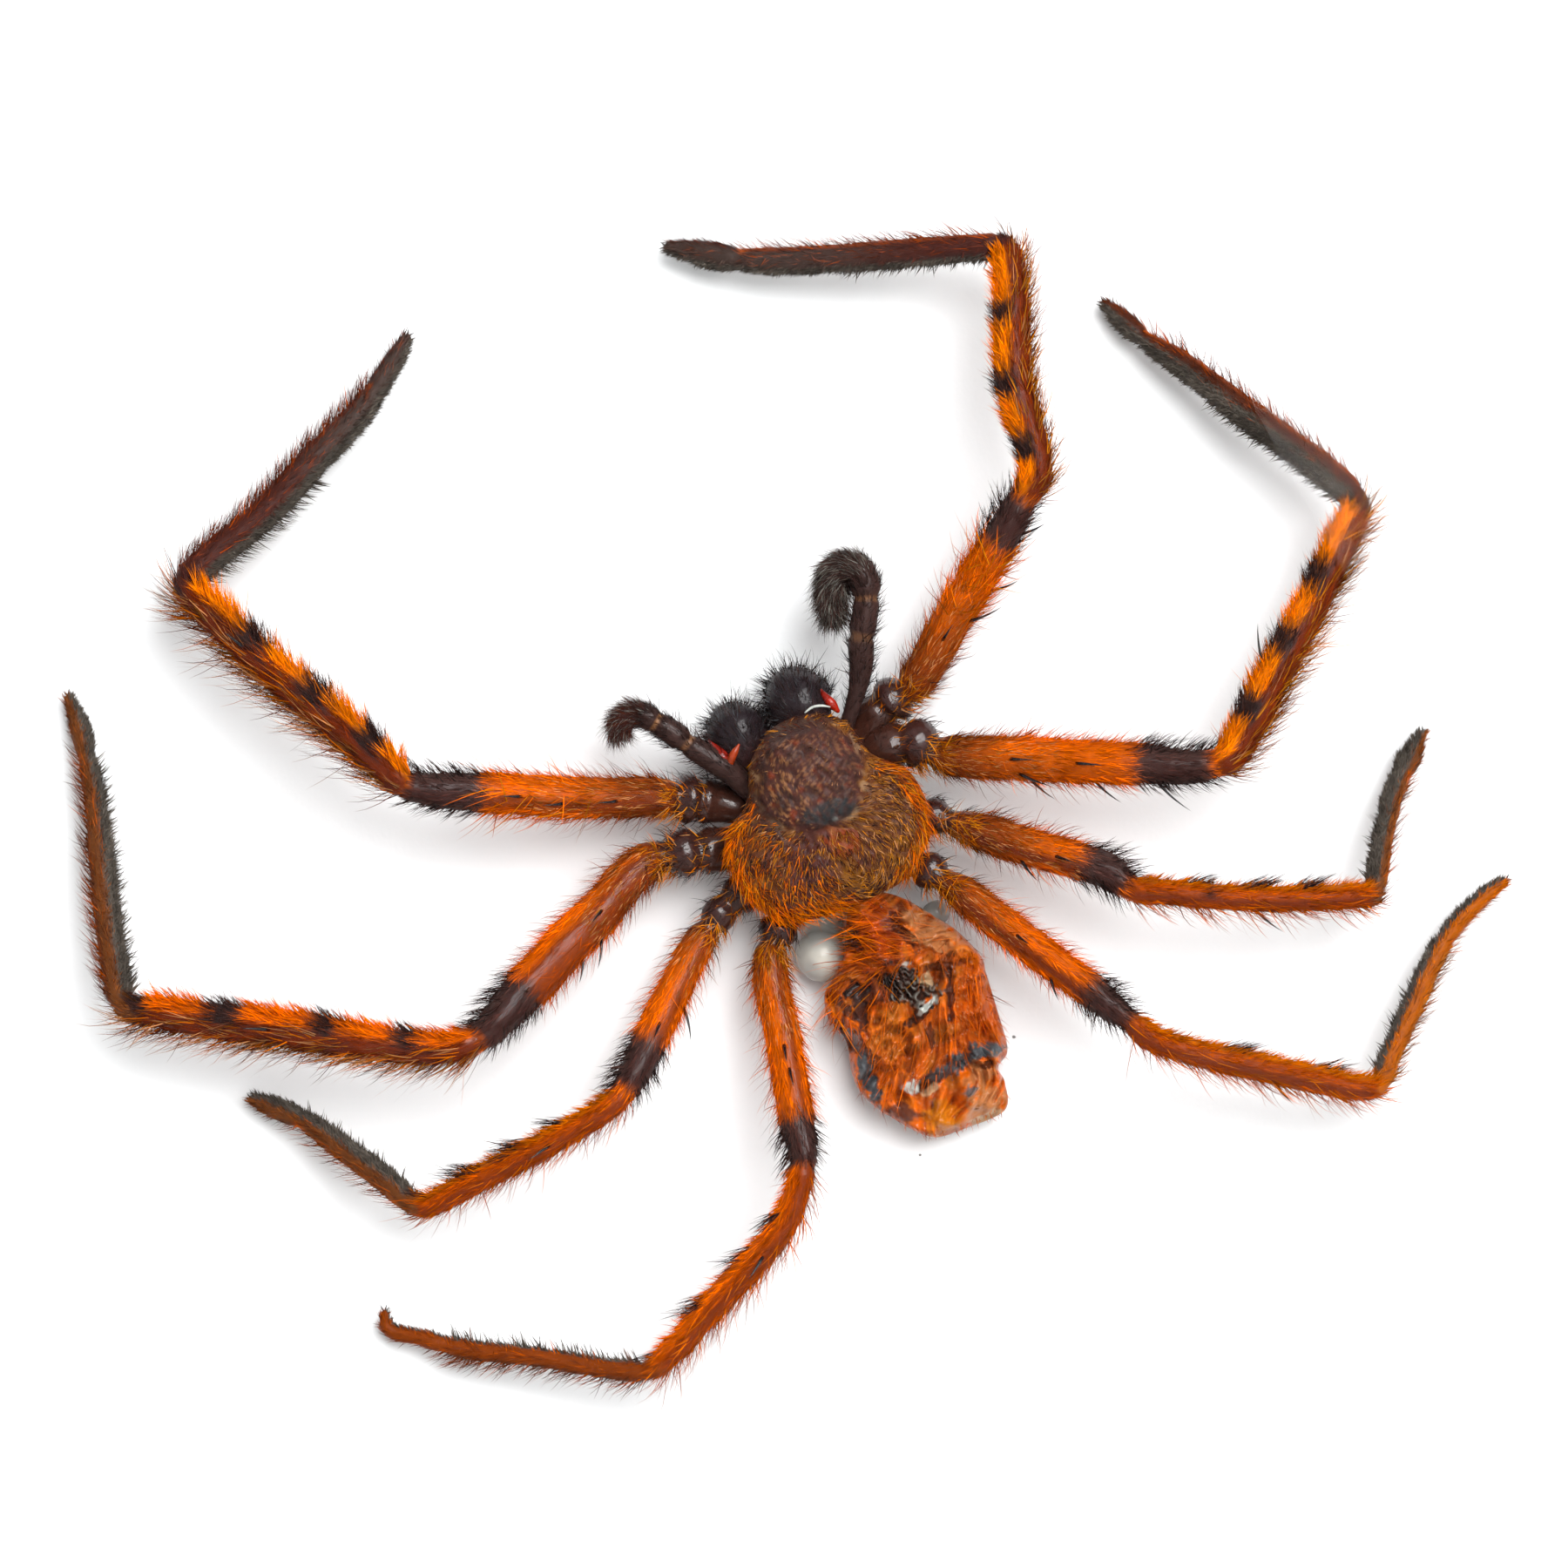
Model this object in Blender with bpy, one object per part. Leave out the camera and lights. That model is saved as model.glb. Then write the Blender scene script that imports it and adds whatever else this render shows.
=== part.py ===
"""A dried huntsman spider glued to a white card in a shallow box frame.

The frame stands on its bottom rail. X runs to the viewer's right, Z is up, and Y runs from the
glass to the back. The origin lies under the middle of the frame, on the surface it stands on.
Lengths are in millimetres, and MM turns them into metres.

The spider is modelled in its own axes: x to the viewer's right, y towards its head and lift
straight off the card. Its origin is the middle of its front body, on the card.
"""
import math
from dataclasses import dataclass

import bmesh
import bpy
from mathutils import Vector

MM = 0.001
TOUCH_GAP = 0.3

# The box frame
OUTER = 176.0
DEPTH = 32.0
RAIL_FACE = 18.0
LIP_WIDTH = 5.0
LIP_DEPTH = 5.0
EDGE_ROUND = 3.0
EDGE_STEPS = 3
SIGHT_CHAMFER = 1.5
BACK_CHAMFER = 0.5
MITRE_CLEARANCE = 0.2
GLASS_THICKNESS = 2.0
SPACER_DEPTH = 15.0
SPACER_THICKNESS = 4.0
CARD_THICKNESS = 2.5
PANEL_THICKNESS = 3.0
EASED_EDGE = 0.25

# What fastens and hangs it
RETAINER_WIDTH = 9.0
RETAINER_REACH = 8.0
RETAINER_POINT = 3.0
RETAINER_THICKNESS = 0.8
HANGER_LENGTH = 44.0
HANGER_HEIGHT = 8.0
HANGER_THICKNESS = 1.0
HANGER_TEETH = 9
HANGER_TOOTH = 1.6
HANGER_CORNER = 2.0
HANGER_BELOW_TOP = 34.0
PIN_SPREAD = 17.0
PIN_HEAD_RADIUS = 2.1
PIN_HEAD_HEIGHT = 0.9
PIN_SHANK_RADIUS = 0.8
PIN_HOLE_DEPTH = 2.3
PIN_SIDES = 12
PIN_DOME_STEPS = 3

# Where the spider's origin lies on the card, from the middle of the frame
SPIDER_RIGHT = 2.5
SPIDER_DOWN = 1.0

# The layers behind the glass, measured back from the front of the rails
REBATE_WIDTH = OUTER - 2 * (RAIL_FACE - LIP_WIDTH)
PANE_SIDE = REBATE_WIDTH - 2 * TOUCH_GAP
GLASS_FRONT = LIP_DEPTH + TOUCH_GAP
SPACER_FRONT = GLASS_FRONT + GLASS_THICKNESS + TOUCH_GAP
CARD_FRONT = SPACER_FRONT + SPACER_DEPTH + TOUCH_GAP
PANEL_FRONT = CARD_FRONT + CARD_THICKNESS + TOUCH_GAP
PANEL_BACK = PANEL_FRONT + PANEL_THICKNESS
FIXING_FRONT = PANEL_BACK + TOUCH_GAP
PIN_HOLE_RADIUS = PIN_SHANK_RADIUS + TOUCH_GAP

LEG_SIDES = 8
JAW_SIDES = 10
LIMB_FLATNESS = 0.9
SPINE_BASE = 0.16
SPINE_LEAN = 0.9
SHARP_ANGLE = math.radians(40)


@dataclass(frozen=True)
class Joint:
    """A point on the middle line of a limb, and how wide the limb is there."""

    x: float
    y: float
    lift: float
    width: float

    @property
    def place(self):
        return Vector((self.x, self.y, self.lift))


@dataclass(frozen=True)
class Spine:
    """A stiff black spine: how far out along the limb, at which angle round it, how long.

    The angle starts at the limb's right, looking outwards, and passes over the top.
    """

    along: float
    angle: float
    length: float


@dataclass(frozen=True)
class Level:
    """One ring of a lofted body: its size against the outline, and its height."""

    size: float
    lift: float


@dataclass(frozen=True)
class Bead:
    """A rounded bead of glue: its middle and its three radii."""

    place: tuple
    radii: tuple


@dataclass(frozen=True)
class Swelling:
    """A round swelling on a surface, or a dent where its rise is negative."""

    x: float
    y: float
    radius: float
    rise: float

    def at(self, spot):
        away = (spot - Vector((self.x, self.y))).length / self.radius
        return self.rise * math.exp(-away * away)


LEG_SPINES = (
    Spine(0.22, 20, 1.2),
    Spine(0.22, 110, 0.9),
    Spine(0.30, 160, 1.2),
    Spine(0.33, 20, 1.4),
    Spine(0.37, 110, 1.1),
    Spine(0.50, 160, 1.2),
    Spine(0.53, 20, 1.2),
    Spine(0.60, 110, 1.0),
    Spine(0.64, 160, 1.2),
    Spine(0.66, 20, 1.0),
)

LEG_JOINTS = {
    "leg_right_1": (
        Joint(3.0, 2.9, 2.6, 1.4), Joint(4.2, 4.0, 2.7, 1.8), Joint(5.5, 4.6, 3.0, 2.1),
        Joint(6.9, 4.9, 3.6, 2.0), Joint(10.3, 7.3, 4.6, 2.3), Joint(13.6, 9.6, 5.8, 2.2),
        Joint(15.2, 10.8, 6.3, 1.9), Joint(16.9, 12.1, 6.5, 1.8), Joint(17.4, 13.9, 6.4, 2.0),
        Joint(17.7, 16.4, 6.1, 2.2), Joint(18.7, 19.0, 5.6, 2.2), Joint(20.1, 22.5, 4.8, 1.9),
        Joint(20.2, 23.5, 4.4, 1.5), Joint(19.3, 23.9, 4.2, 1.5), Joint(14.7, 25.6, 3.2, 1.7),
        Joint(10.1, 27.4, 2.3, 1.6), Joint(7.8, 28.5, 1.9, 1.4), Joint(6.2, 29.6, 1.5, 1.1),
        Joint(4.6, 30.7, 1.2, 0.5),
    ),
    "leg_right_2": (
        Joint(3.6, 1.2, 2.6, 1.4), Joint(4.9, 1.7, 2.7, 1.9), Joint(5.9, 1.5, 3.1, 2.1),
        Joint(7.0, 1.0, 3.7, 2.2), Joint(10.7, -0.9, 4.8, 2.6), Joint(15.3, -3.2, 6.0, 2.5),
        Joint(18.3, -4.7, 6.5, 1.9), Joint(19.9, -5.0, 6.6, 1.8), Joint(21.5, -4.0, 6.5, 2.1),
        Joint(23.3, -2.5, 6.3, 2.2), Joint(27.0, 0.3, 5.7, 2.0), Joint(30.3, 3.1, 4.8, 1.9),
        Joint(31.4, 4.1, 4.4, 1.5), Joint(30.9, 5.8, 4.0, 1.7), Joint(28.5, 10.3, 2.9, 1.8),
        Joint(26.3, 14.4, 1.9, 1.5), Joint(25.1, 16.4, 1.3, 1.1), Joint(24.5, 17.8, 1.0, 0.9),
        Joint(24.0, 18.9, 0.8, 0.4),
    ),
    "leg_right_3": (
        Joint(3.4, -0.6, 2.6, 1.4), Joint(4.6, -1.2, 2.7, 1.8), Joint(5.8, -2.2, 3.3, 1.9),
        Joint(8.9, -5.0, 4.4, 2.2), Joint(12.1, -7.8, 5.4, 2.1), Joint(12.9, -9.1, 5.8, 1.5),
        Joint(14.6, -10.1, 5.9, 1.5), Joint(16.2, -11.0, 5.8, 1.5), Joint(19.9, -12.8, 5.3, 1.5),
        Joint(23.2, -14.1, 4.6, 1.5), Joint(24.0, -14.4, 4.3, 1.3), Joint(24.8, -13.4, 3.8, 1.2),
        Joint(26.1, -11.6, 2.9, 1.2), Joint(27.3, -10.2, 2.1, 1.2), Joint(28.6, -9.1, 1.4, 1.0),
        Joint(30.0, -8.0, 0.8, 0.4),
    ),
    "leg_right_4": (
        Joint(2.4, -2.4, 2.6, 1.4), Joint(3.5, -3.6, 2.7, 1.8), Joint(4.4, -4.9, 3.2, 1.8),
        Joint(6.4, -8.6, 4.2, 2.1), Joint(8.9, -13.1, 5.4, 2.0), Joint(9.9, -15.0, 5.9, 1.4),
        Joint(10.8, -16.6, 6.0, 1.5), Joint(12.0, -17.7, 6.0, 1.5), Joint(14.5, -19.6, 5.6, 1.7),
        Joint(17.9, -22.1, 4.8, 1.6), Joint(19.7, -23.3, 4.4, 1.4), Joint(20.4, -23.4, 4.2, 1.2),
        Joint(21.4, -22.5, 3.7, 1.2), Joint(24.2, -20.1, 2.7, 1.3), Joint(25.6, -18.9, 2.2, 1.2),
        Joint(26.9, -18.0, 1.8, 1.1), Joint(29.4, -17.0, 1.0, 0.7), Joint(30.8, -16.7, 0.8, 0.4),
    ),
    "leg_left_1": (
        Joint(-3.6, 2.7, 2.6, 1.4), Joint(-4.8, 3.6, 2.7, 1.9), Joint(-5.8, 4.2, 3.1, 2.2),
        Joint(-6.9, 4.8, 3.6, 2.1), Joint(-10.4, 6.3, 4.4, 2.4), Joint(-15.1, 8.7, 5.5, 2.4),
        Joint(-18.0, 10.2, 6.2, 1.9), Joint(-18.8, 10.9, 6.4, 1.8), Joint(-19.3, 12.1, 6.4, 2.0),
        Joint(-20.2, 14.2, 6.2, 2.2), Joint(-22.9, 19.6, 5.4, 2.1), Joint(-24.3, 23.0, 4.8, 2.0),
        Joint(-24.9, 24.7, 4.4, 1.5), Joint(-23.7, 25.3, 4.1, 1.5), Joint(-20.0, 26.4, 3.4, 1.5),
        Joint(-16.8, 27.8, 2.7, 1.4), Joint(-13.5, 29.2, 1.9, 1.2), Joint(-12.0, 30.1, 1.5, 1.0),
        Joint(-10.6, 31.1, 1.1, 0.7), Joint(-9.5, 31.9, 0.9, 0.4),
    ),
    "leg_left_2": (
        Joint(-4.0, 0.9, 2.6, 1.4), Joint(-5.4, 1.2, 2.7, 1.9), Joint(-6.9, 1.7, 3.0, 2.2),
        Joint(-8.9, 2.2, 3.4, 2.1), Joint(-12.9, 0.6, 4.6, 2.7), Joint(-16.9, -1.0, 5.6, 2.7),
        Joint(-19.1, -2.0, 6.3, 2.2), Joint(-20.4, -2.5, 6.5, 1.8), Joint(-22.2, -2.3, 6.5, 1.8),
        Joint(-25.8, -0.4, 6.1, 2.1), Joint(-29.2, 1.8, 5.5, 2.2), Joint(-33.0, 4.0, 4.9, 2.1),
        Joint(-34.8, 5.2, 4.6, 1.9), Joint(-36.5, 6.3, 4.2, 1.4), Joint(-36.3, 7.9, 3.8, 1.6),
        Joint(-34.7, 13.7, 2.5, 1.5), Joint(-33.6, 17.5, 1.7, 1.2), Joint(-33.4, 18.7, 1.4, 1.1),
        Joint(-33.1, 20.3, 1.1, 0.9), Joint(-33.0, 22.1, 0.8, 0.4),
    ),
    "leg_left_3": (
        Joint(-3.8, -0.9, 2.6, 1.4), Joint(-5.2, -1.2, 2.7, 1.8), Joint(-6.9, -1.8, 2.9, 2.0),
        Joint(-8.3, -2.6, 3.2, 1.8), Joint(-11.3, -5.0, 4.4, 2.1), Joint(-13.9, -7.2, 5.4, 2.0),
        Joint(-15.1, -8.1, 5.8, 1.5), Joint(-16.5, -8.5, 5.9, 1.5), Joint(-18.0, -8.7, 5.8, 1.5),
        Joint(-20.4, -8.9, 5.5, 1.6), Joint(-24.9, -9.2, 4.7, 1.5), Joint(-26.4, -9.3, 4.4, 1.4),
        Joint(-27.1, -9.0, 4.2, 1.3), Joint(-27.8, -7.6, 3.7, 1.4), Joint(-28.9, -5.8, 3.0, 1.5),
        Joint(-30.8, -2.7, 1.8, 1.2), Joint(-31.8, -1.7, 1.2, 0.9), Joint(-32.8, -0.7, 0.8, 0.5),
    ),
    "leg_left_4": (
        Joint(-2.6, -2.5, 2.6, 1.4), Joint(-4.1, -3.5, 2.7, 1.8), Joint(-5.2, -4.5, 2.9, 1.9),
        Joint(-6.5, -9.0, 4.2, 2.1), Joint(-7.5, -12.9, 5.3, 2.1), Joint(-8.0, -14.9, 5.9, 1.6),
        Joint(-8.7, -15.9, 6.0, 1.5), Joint(-9.9, -17.2, 6.0, 1.6), Joint(-12.1, -18.5, 5.7, 1.7),
        Joint(-15.2, -19.8, 5.1, 1.7), Joint(-18.2, -21.2, 4.5, 1.5), Joint(-19.5, -21.6, 4.2, 1.2),
        Joint(-21.2, -20.9, 3.6, 1.1), Joint(-24.6, -18.8, 2.6, 1.1), Joint(-28.3, -16.7, 1.6, 1.1),
        Joint(-29.8, -15.5, 1.2, 0.9), Joint(-31.2, -14.3, 0.9, 0.6), Joint(-31.0, -13.5, 1.1, 0.3),
    ),
}

PALP_JOINTS = {
    "palp_right": (
        Joint(3.7, 5.5, 3.5, 1.1), Joint(4.1, 5.9, 3.8, 1.2), Joint(4.9, 6.9, 4.4, 1.2),
        Joint(5.4, 8.0, 4.8, 1.1), Joint(6.1, 9.0, 5.0, 1.4), Joint(6.7, 10.1, 5.1, 1.5),
        Joint(7.0, 11.0, 5.1, 1.5), Joint(6.7, 11.8, 5.0, 1.5), Joint(6.0, 12.1, 4.8, 1.5),
        Joint(5.3, 12.0, 4.6, 1.5), Joint(4.7, 11.3, 4.3, 1.5), Joint(4.3, 10.4, 4.0, 1.4),
        Joint(4.1, 9.4, 3.7, 0.8),
    ),
    "palp_left": (
        Joint(-4.1, 5.0, 3.4, 1.1), Joint(-4.2, 5.7, 4.0, 1.2), Joint(-4.7, 6.7, 4.4, 1.0),
        Joint(-5.2, 7.6, 4.6, 1.2), Joint(-5.8, 8.5, 4.7, 1.1), Joint(-6.4, 9.2, 4.7, 1.2),
        Joint(-7.1, 9.4, 4.6, 1.3), Joint(-7.7, 9.1, 4.4, 1.2), Joint(-7.8, 8.5, 4.2, 0.7),
    ),
}

# A jaw leaves the front of the head, swells, turns down and ends in its folded fang
JAW_JOINTS = {
    "chelicera_right": (
        Joint(1.4, 5.9, 4.6, 2.2), Joint(1.4, 6.4, 4.5, 3.1), Joint(1.4, 7.0, 4.1, 3.5),
        Joint(1.4, 7.4, 3.3, 3.2), Joint(1.4, 7.4, 2.6, 2.2), Joint(1.3, 7.1, 2.1, 1.0),
        Joint(1.0, 6.6, 1.8, 0.5), Joint(0.7, 6.2, 1.6, 0.2),
    ),
    "chelicera_left": (
        Joint(-2.4, 5.6, 4.1, 1.8), Joint(-2.4, 6.1, 4.0, 2.6), Joint(-2.4, 6.8, 3.7, 3.0),
        Joint(-2.4, 7.2, 3.0, 2.7), Joint(-2.4, 7.1, 2.4, 1.9), Joint(-2.3, 6.8, 2.0, 0.9),
        Joint(-2.0, 6.3, 1.7, 0.5), Joint(-1.7, 5.9, 1.5, 0.2),
    ),
}

# The front body: an oval with a raised head region and a pit in the middle
CARAPACE_MIDDLE = Vector((-0.45, 0.5))
CARAPACE_HALF_WIDTH = 5.35
CARAPACE_HALF_LENGTH = 4.95
CARAPACE_SQUARENESS = 2.2
CARAPACE_SIDES = 32
CARAPACE_RIM_LIFT = 4.5
CARAPACE_RIM_FADE = 0.2
CARAPACE_LEVELS = (
    Level(0.0, 1.5), Level(0.42, 1.55), Level(0.52, 2.2), Level(0.58, 3.2), Level(0.70, 3.9),
    Level(0.92, 4.2), Level(1.0, CARAPACE_RIM_LIFT), Level(0.98, 4.9), Level(0.91, 5.4),
    Level(0.78, 5.85), Level(0.60, 6.15), Level(0.40, 6.3), Level(0.20, 6.35), Level(0.0, 6.35),
)
HEAD_MIDDLE = Vector((0.45, 2.9))
HEAD_RADIUS = 2.75
HEAD_EDGE = 1.8
HEAD_RISE = 0.85
PIT_MIDDLE = Vector((0.3, 0.4))
PIT_RADIUS = 1.0
PIT_DEPTH = 0.25

# The rear body: a shrivelled sack with a torn end, its outline followed round from the front
ABDOMEN_MIDDLE = Vector((0.2, -11.0))
ABDOMEN_OUTLINE = (
    (0.7, -5.1), (-0.8, -5.2), (-1.9, -6.6), (-3.4, -7.3), (-4.0, -8.9), (-3.6, -10.4), (-4.0, -12.0),
    (-3.9, -13.4), (-3.1, -14.9), (-1.6, -16.7), (0.0, -17.0), (2.4, -17.0), (3.0, -15.7), (3.0, -14.8),
    (3.8, -14.2), (4.1, -12.5), (4.4, -10.1), (4.5, -9.2), (3.9, -7.7), (3.0, -6.6), (2.1, -5.7),
)
ABDOMEN_STEPS = 2
ABDOMEN_LEVELS = (
    Level(0.0, -1.3), Level(0.6, -1.3), Level(0.88, -0.9), Level(1.0, 0.0), Level(0.98, 0.8),
    Level(0.89, 1.35), Level(0.75, 1.65), Level(0.60, 1.8), Level(0.45, 1.9), Level(0.30, 1.95),
    Level(0.15, 2.0), Level(0.0, 2.0),
)
ABDOMEN_MIDDLE_LIFT = 1.9
ABDOMEN_SLOPE = 0.12
ABDOMEN_FOLD = 0.22
ABDOMEN_LOWEST = 0.35
ABDOMEN_RELIEF = (
    Swelling(0.5, -9.1, 1.1, -0.7), Swelling(0.6, -6.6, 1.3, 0.5), Swelling(3.1, -8.1, 0.9, 0.6),
    Swelling(-2.6, -8.8, 1.0, 0.4), Swelling(1.6, -11.7, 1.0, 0.5), Swelling(-1.6, -12.2, 1.1, 0.4),
    Swelling(1.3, -13.9, 0.8, 0.5), Swelling(1.2, -15.7, 1.2, -0.6), Swelling(-3.0, -11.0, 0.6, -0.5),
)

# The dried glue, cut off flat just above the card
GLUE_LEFT = Bead((-3.0, -5.9, 1.2), (1.35, 1.4, 1.4))
GLUE_NECK = Bead((-2.3, -4.2, 0.3), (1.1, 1.9, 1.0))
GLUE_SEAT = Bead((-0.5, -0.9, 0.3), (2.4, 3.0, 0.9))
GLUE_RIGHT = Bead((3.3, -6.3, 0.7), (0.8, 0.7, 0.9))
GLUE_TURNS = 16
GLUE_ROWS = 10
GLUE_TRIM_SIDE = 40.0
GLUE_TRIM_DEPTH = 10.0


def clear_scene():
    """Empty the file of objects before the model is made."""
    for item in list(bpy.data.objects):
        bpy.data.objects.remove(item, do_unlink=True)


def make_material(name, colour, roughness, metallic=0.0, alpha=1.0):
    """Make a plain Principled material."""
    material = bpy.data.materials.new(name)
    material.use_nodes = True
    shader = material.node_tree.nodes["Principled BSDF"]
    shader.inputs["Base Color"].default_value = (*colour, 1.0)
    shader.inputs["Roughness"].default_value = roughness
    shader.inputs["Metallic"].default_value = metallic
    shader.inputs["Alpha"].default_value = alpha
    return material


def make_empty(name, location, rotation=(0.0, 0.0, 0.0)):
    """Make an empty that carries a group of pieces."""
    empty = bpy.data.objects.new(name, None)
    empty.location = Vector(location) * MM
    empty.rotation_euler = rotation
    bpy.context.collection.objects.link(empty)
    return empty


def make_piece(name, shape, material, parent=None, location=(0.0, 0.0, 0.0), rotation=(0.0, 0.0, 0.0)):
    """Turn a bmesh in millimetres into a named object, shaded smooth between its sharp edges."""
    bmesh.ops.recalc_face_normals(shape, faces=shape.faces)
    bmesh.ops.scale(shape, vec=(MM, MM, MM), verts=shape.verts)
    mesh = bpy.data.meshes.new(name)
    shape.to_mesh(mesh)
    shape.free()
    mesh.materials.append(material)
    mesh.shade_smooth()
    mesh.set_sharp_from_angle(angle=SHARP_ANGLE)
    piece = bpy.data.objects.new(name, mesh)
    piece.location = Vector(location) * MM
    piece.rotation_euler = rotation
    piece.parent = parent
    bpy.context.collection.objects.link(piece)
    return piece


def hide_cutter(cutter):
    """Keep a cutting or joining shape out of the model."""
    cutter.hide_render = True
    cutter.display_type = "WIRE"


def combine(piece, other, operation):
    """Cut or join a hidden shape to a piece."""
    hide_cutter(other)
    boolean = piece.modifiers.new(operation.title(), "BOOLEAN")
    boolean.operation = operation
    boolean.object = other
    boolean.solver = "EXACT"


def extruded(outline, thickness):
    """Extrude an outline in X and Z backwards along Y, from Y = 0."""
    shape = bmesh.new()
    front = [shape.verts.new((x, 0.0, z)) for x, z in outline]
    back = [shape.verts.new((x, thickness, z)) for x, z in outline]
    shape.faces.new(front)
    shape.faces.new(back[::-1])
    for index in range(len(outline)):
        after = (index + 1) % len(outline)
        shape.faces.new((front[index], back[index], back[after], front[after]))
    return shape


def slab(width, depth, height):
    """Make a box about the origin with slightly eased edges."""
    shape = bmesh.new()
    bmesh.ops.create_cube(shape, size=1.0)
    bmesh.ops.scale(shape, vec=(width, depth, height), verts=shape.verts)
    bmesh.ops.bevel(shape, geom=shape.edges[:], offset=EASED_EDGE, segments=1, affect="EDGES")
    return shape


def turned(profile, sides):
    """Turn a profile of (radius, distance along Y) points round the Y axis, closed at both ends."""
    shape = bmesh.new()
    rings = []
    for radius, along in profile:
        if radius == 0.0:
            rings.append([shape.verts.new((0.0, along, 0.0))])
            continue
        angles = [2 * math.pi * index / sides for index in range(sides)]
        rings.append([shape.verts.new((radius * math.cos(a), along, radius * math.sin(a))) for a in angles])
    bridge_rings(shape, rings)
    return shape


def bridge_rings(shape, rings):
    """Join successive rings of vertices with faces, where a ring may be a single point."""
    for lower, upper in zip(rings, rings[1:]):
        count = max(len(lower), len(upper))
        for index in range(count):
            after = (index + 1) % count
            corners = [lower[index % len(lower)], lower[after % len(lower)]]
            corners += [upper[after % len(upper)], upper[index % len(upper)]]
            shape.faces.new(list(dict.fromkeys(corners)))


def rail_profile():
    """List the rail's section as (distance in from the outer edge, distance back from the front)."""
    points = [(0.0, DEPTH - BACK_CHAMFER)]
    for step in range(EDGE_STEPS + 1):
        angle = math.pi / 2 * step / EDGE_STEPS
        points.append((EDGE_ROUND * (1 - math.cos(angle)), EDGE_ROUND * (1 - math.sin(angle))))
    points.append((RAIL_FACE - SIGHT_CHAMFER, 0.0))
    points.append((RAIL_FACE, SIGHT_CHAMFER))
    points.append((RAIL_FACE, LIP_DEPTH))
    points.append((RAIL_FACE - LIP_WIDTH, LIP_DEPTH))
    points.append((RAIL_FACE - LIP_WIDTH, DEPTH))
    points.append((BACK_CHAMFER, DEPTH))
    return points


def rail_shape():
    """Make the bottom rail about the frame's middle, mitred at both ends."""
    shape = bmesh.new()
    ends = []
    for side in (-1, 1):
        ring = []
        for inset, back in rail_profile():
            reach = OUTER / 2 - inset - MITRE_CLEARANCE
            ring.append(shape.verts.new((side * reach, back - DEPTH / 2, inset - OUTER / 2)))
        ends.append(ring)
    bridge_rings(shape, ends)
    shape.faces.new(ends[0])
    shape.faces.new(ends[1][::-1])
    return shape


def build_rails(wood):
    """Make the four mitred rails round the frame's middle."""
    for turn, side in enumerate(("bottom", "left", "top", "right")):
        make_piece(
            f"frame_rail_{side}", rail_shape(), wood,
            location=(0.0, 0.0, OUTER / 2), rotation=(0.0, turn * math.pi / 2, 0.0),
        )


def layer_middle(front, thickness):
    """Give the Y of the middle of a layer from the place of its front."""
    return front + thickness / 2 - DEPTH / 2


def build_sheet(name, front, thickness, material):
    """Make a square sheet that fills the rebate, from the place of its front."""
    place = (0.0, layer_middle(front, thickness), OUTER / 2)
    return make_piece(name, slab(PANE_SIDE, thickness, PANE_SIDE), material, location=place)


def build_layers(glass, foam, card, board):
    """Make the glass, its four spacers, the card and the back panel."""
    build_sheet("glass_pane", GLASS_FRONT, GLASS_THICKNESS, glass)
    build_sheet("mount_card", CARD_FRONT, CARD_THICKNESS, card)

    middle = OUTER / 2
    spacer_y = layer_middle(SPACER_FRONT, SPACER_DEPTH)
    out = (PANE_SIDE - SPACER_THICKNESS) / 2
    upright = PANE_SIDE - 2 * (SPACER_THICKNESS + TOUCH_GAP)
    for side, name in ((-1, "bottom"), (1, "top")):
        strip = slab(PANE_SIDE, SPACER_DEPTH, SPACER_THICKNESS)
        make_piece(f"spacer_{name}", strip, foam, location=(0, spacer_y, middle + side * out))
    for side, name in ((-1, "left"), (1, "right")):
        strip = slab(SPACER_THICKNESS, SPACER_DEPTH, upright)
        make_piece(f"spacer_{name}", strip, foam, location=(side * out, spacer_y, middle))

    panel = build_sheet("back_panel", PANEL_FRONT, PANEL_THICKNESS, board)
    for side, name in ((-1, "left"), (1, "right")):
        combine(panel, pin_hole(f"panel_hole_{name}", side, board), "DIFFERENCE")


def hanger_height():
    """Give the Z of the hanger plate's middle."""
    return OUTER - HANGER_BELOW_TOP


def pin_hole(name, side, material):
    """Make the cutter of one pin hole, through the plate and part of the way into the panel."""
    start = PANEL_BACK - PIN_HOLE_DEPTH - DEPTH / 2
    end = DEPTH / 2
    profile = [(0.0, 0.0), (PIN_HOLE_RADIUS, 0.0), (PIN_HOLE_RADIUS, end - start), (0.0, end - start)]
    place = (side * PIN_SPREAD, start, hanger_height())
    return make_piece(name, turned(profile, PIN_SIDES), material, location=place)


def hanger_outline():
    """List the hanger plate's outline, with a row of teeth along its lower edge."""
    half = HANGER_LENGTH / 2
    top = HANGER_HEIGHT / 2
    corner = HANGER_CORNER
    points = [(-half, corner - top), (-half, top - corner), (corner - half, top)]
    points += [(half - corner, top), (half, top - corner), (half, corner - top), (half - corner, -top)]
    toothed = HANGER_LENGTH - 4 * corner
    pitch = toothed / HANGER_TEETH
    for tooth in range(HANGER_TEETH):
        right = toothed / 2 - tooth * pitch
        points.append((right, -top))
        points.append((right - pitch / 2, HANGER_TOOTH - top))
    points.append((-toothed / 2, -top))
    points.append((corner - half, -top))
    return points


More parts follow.
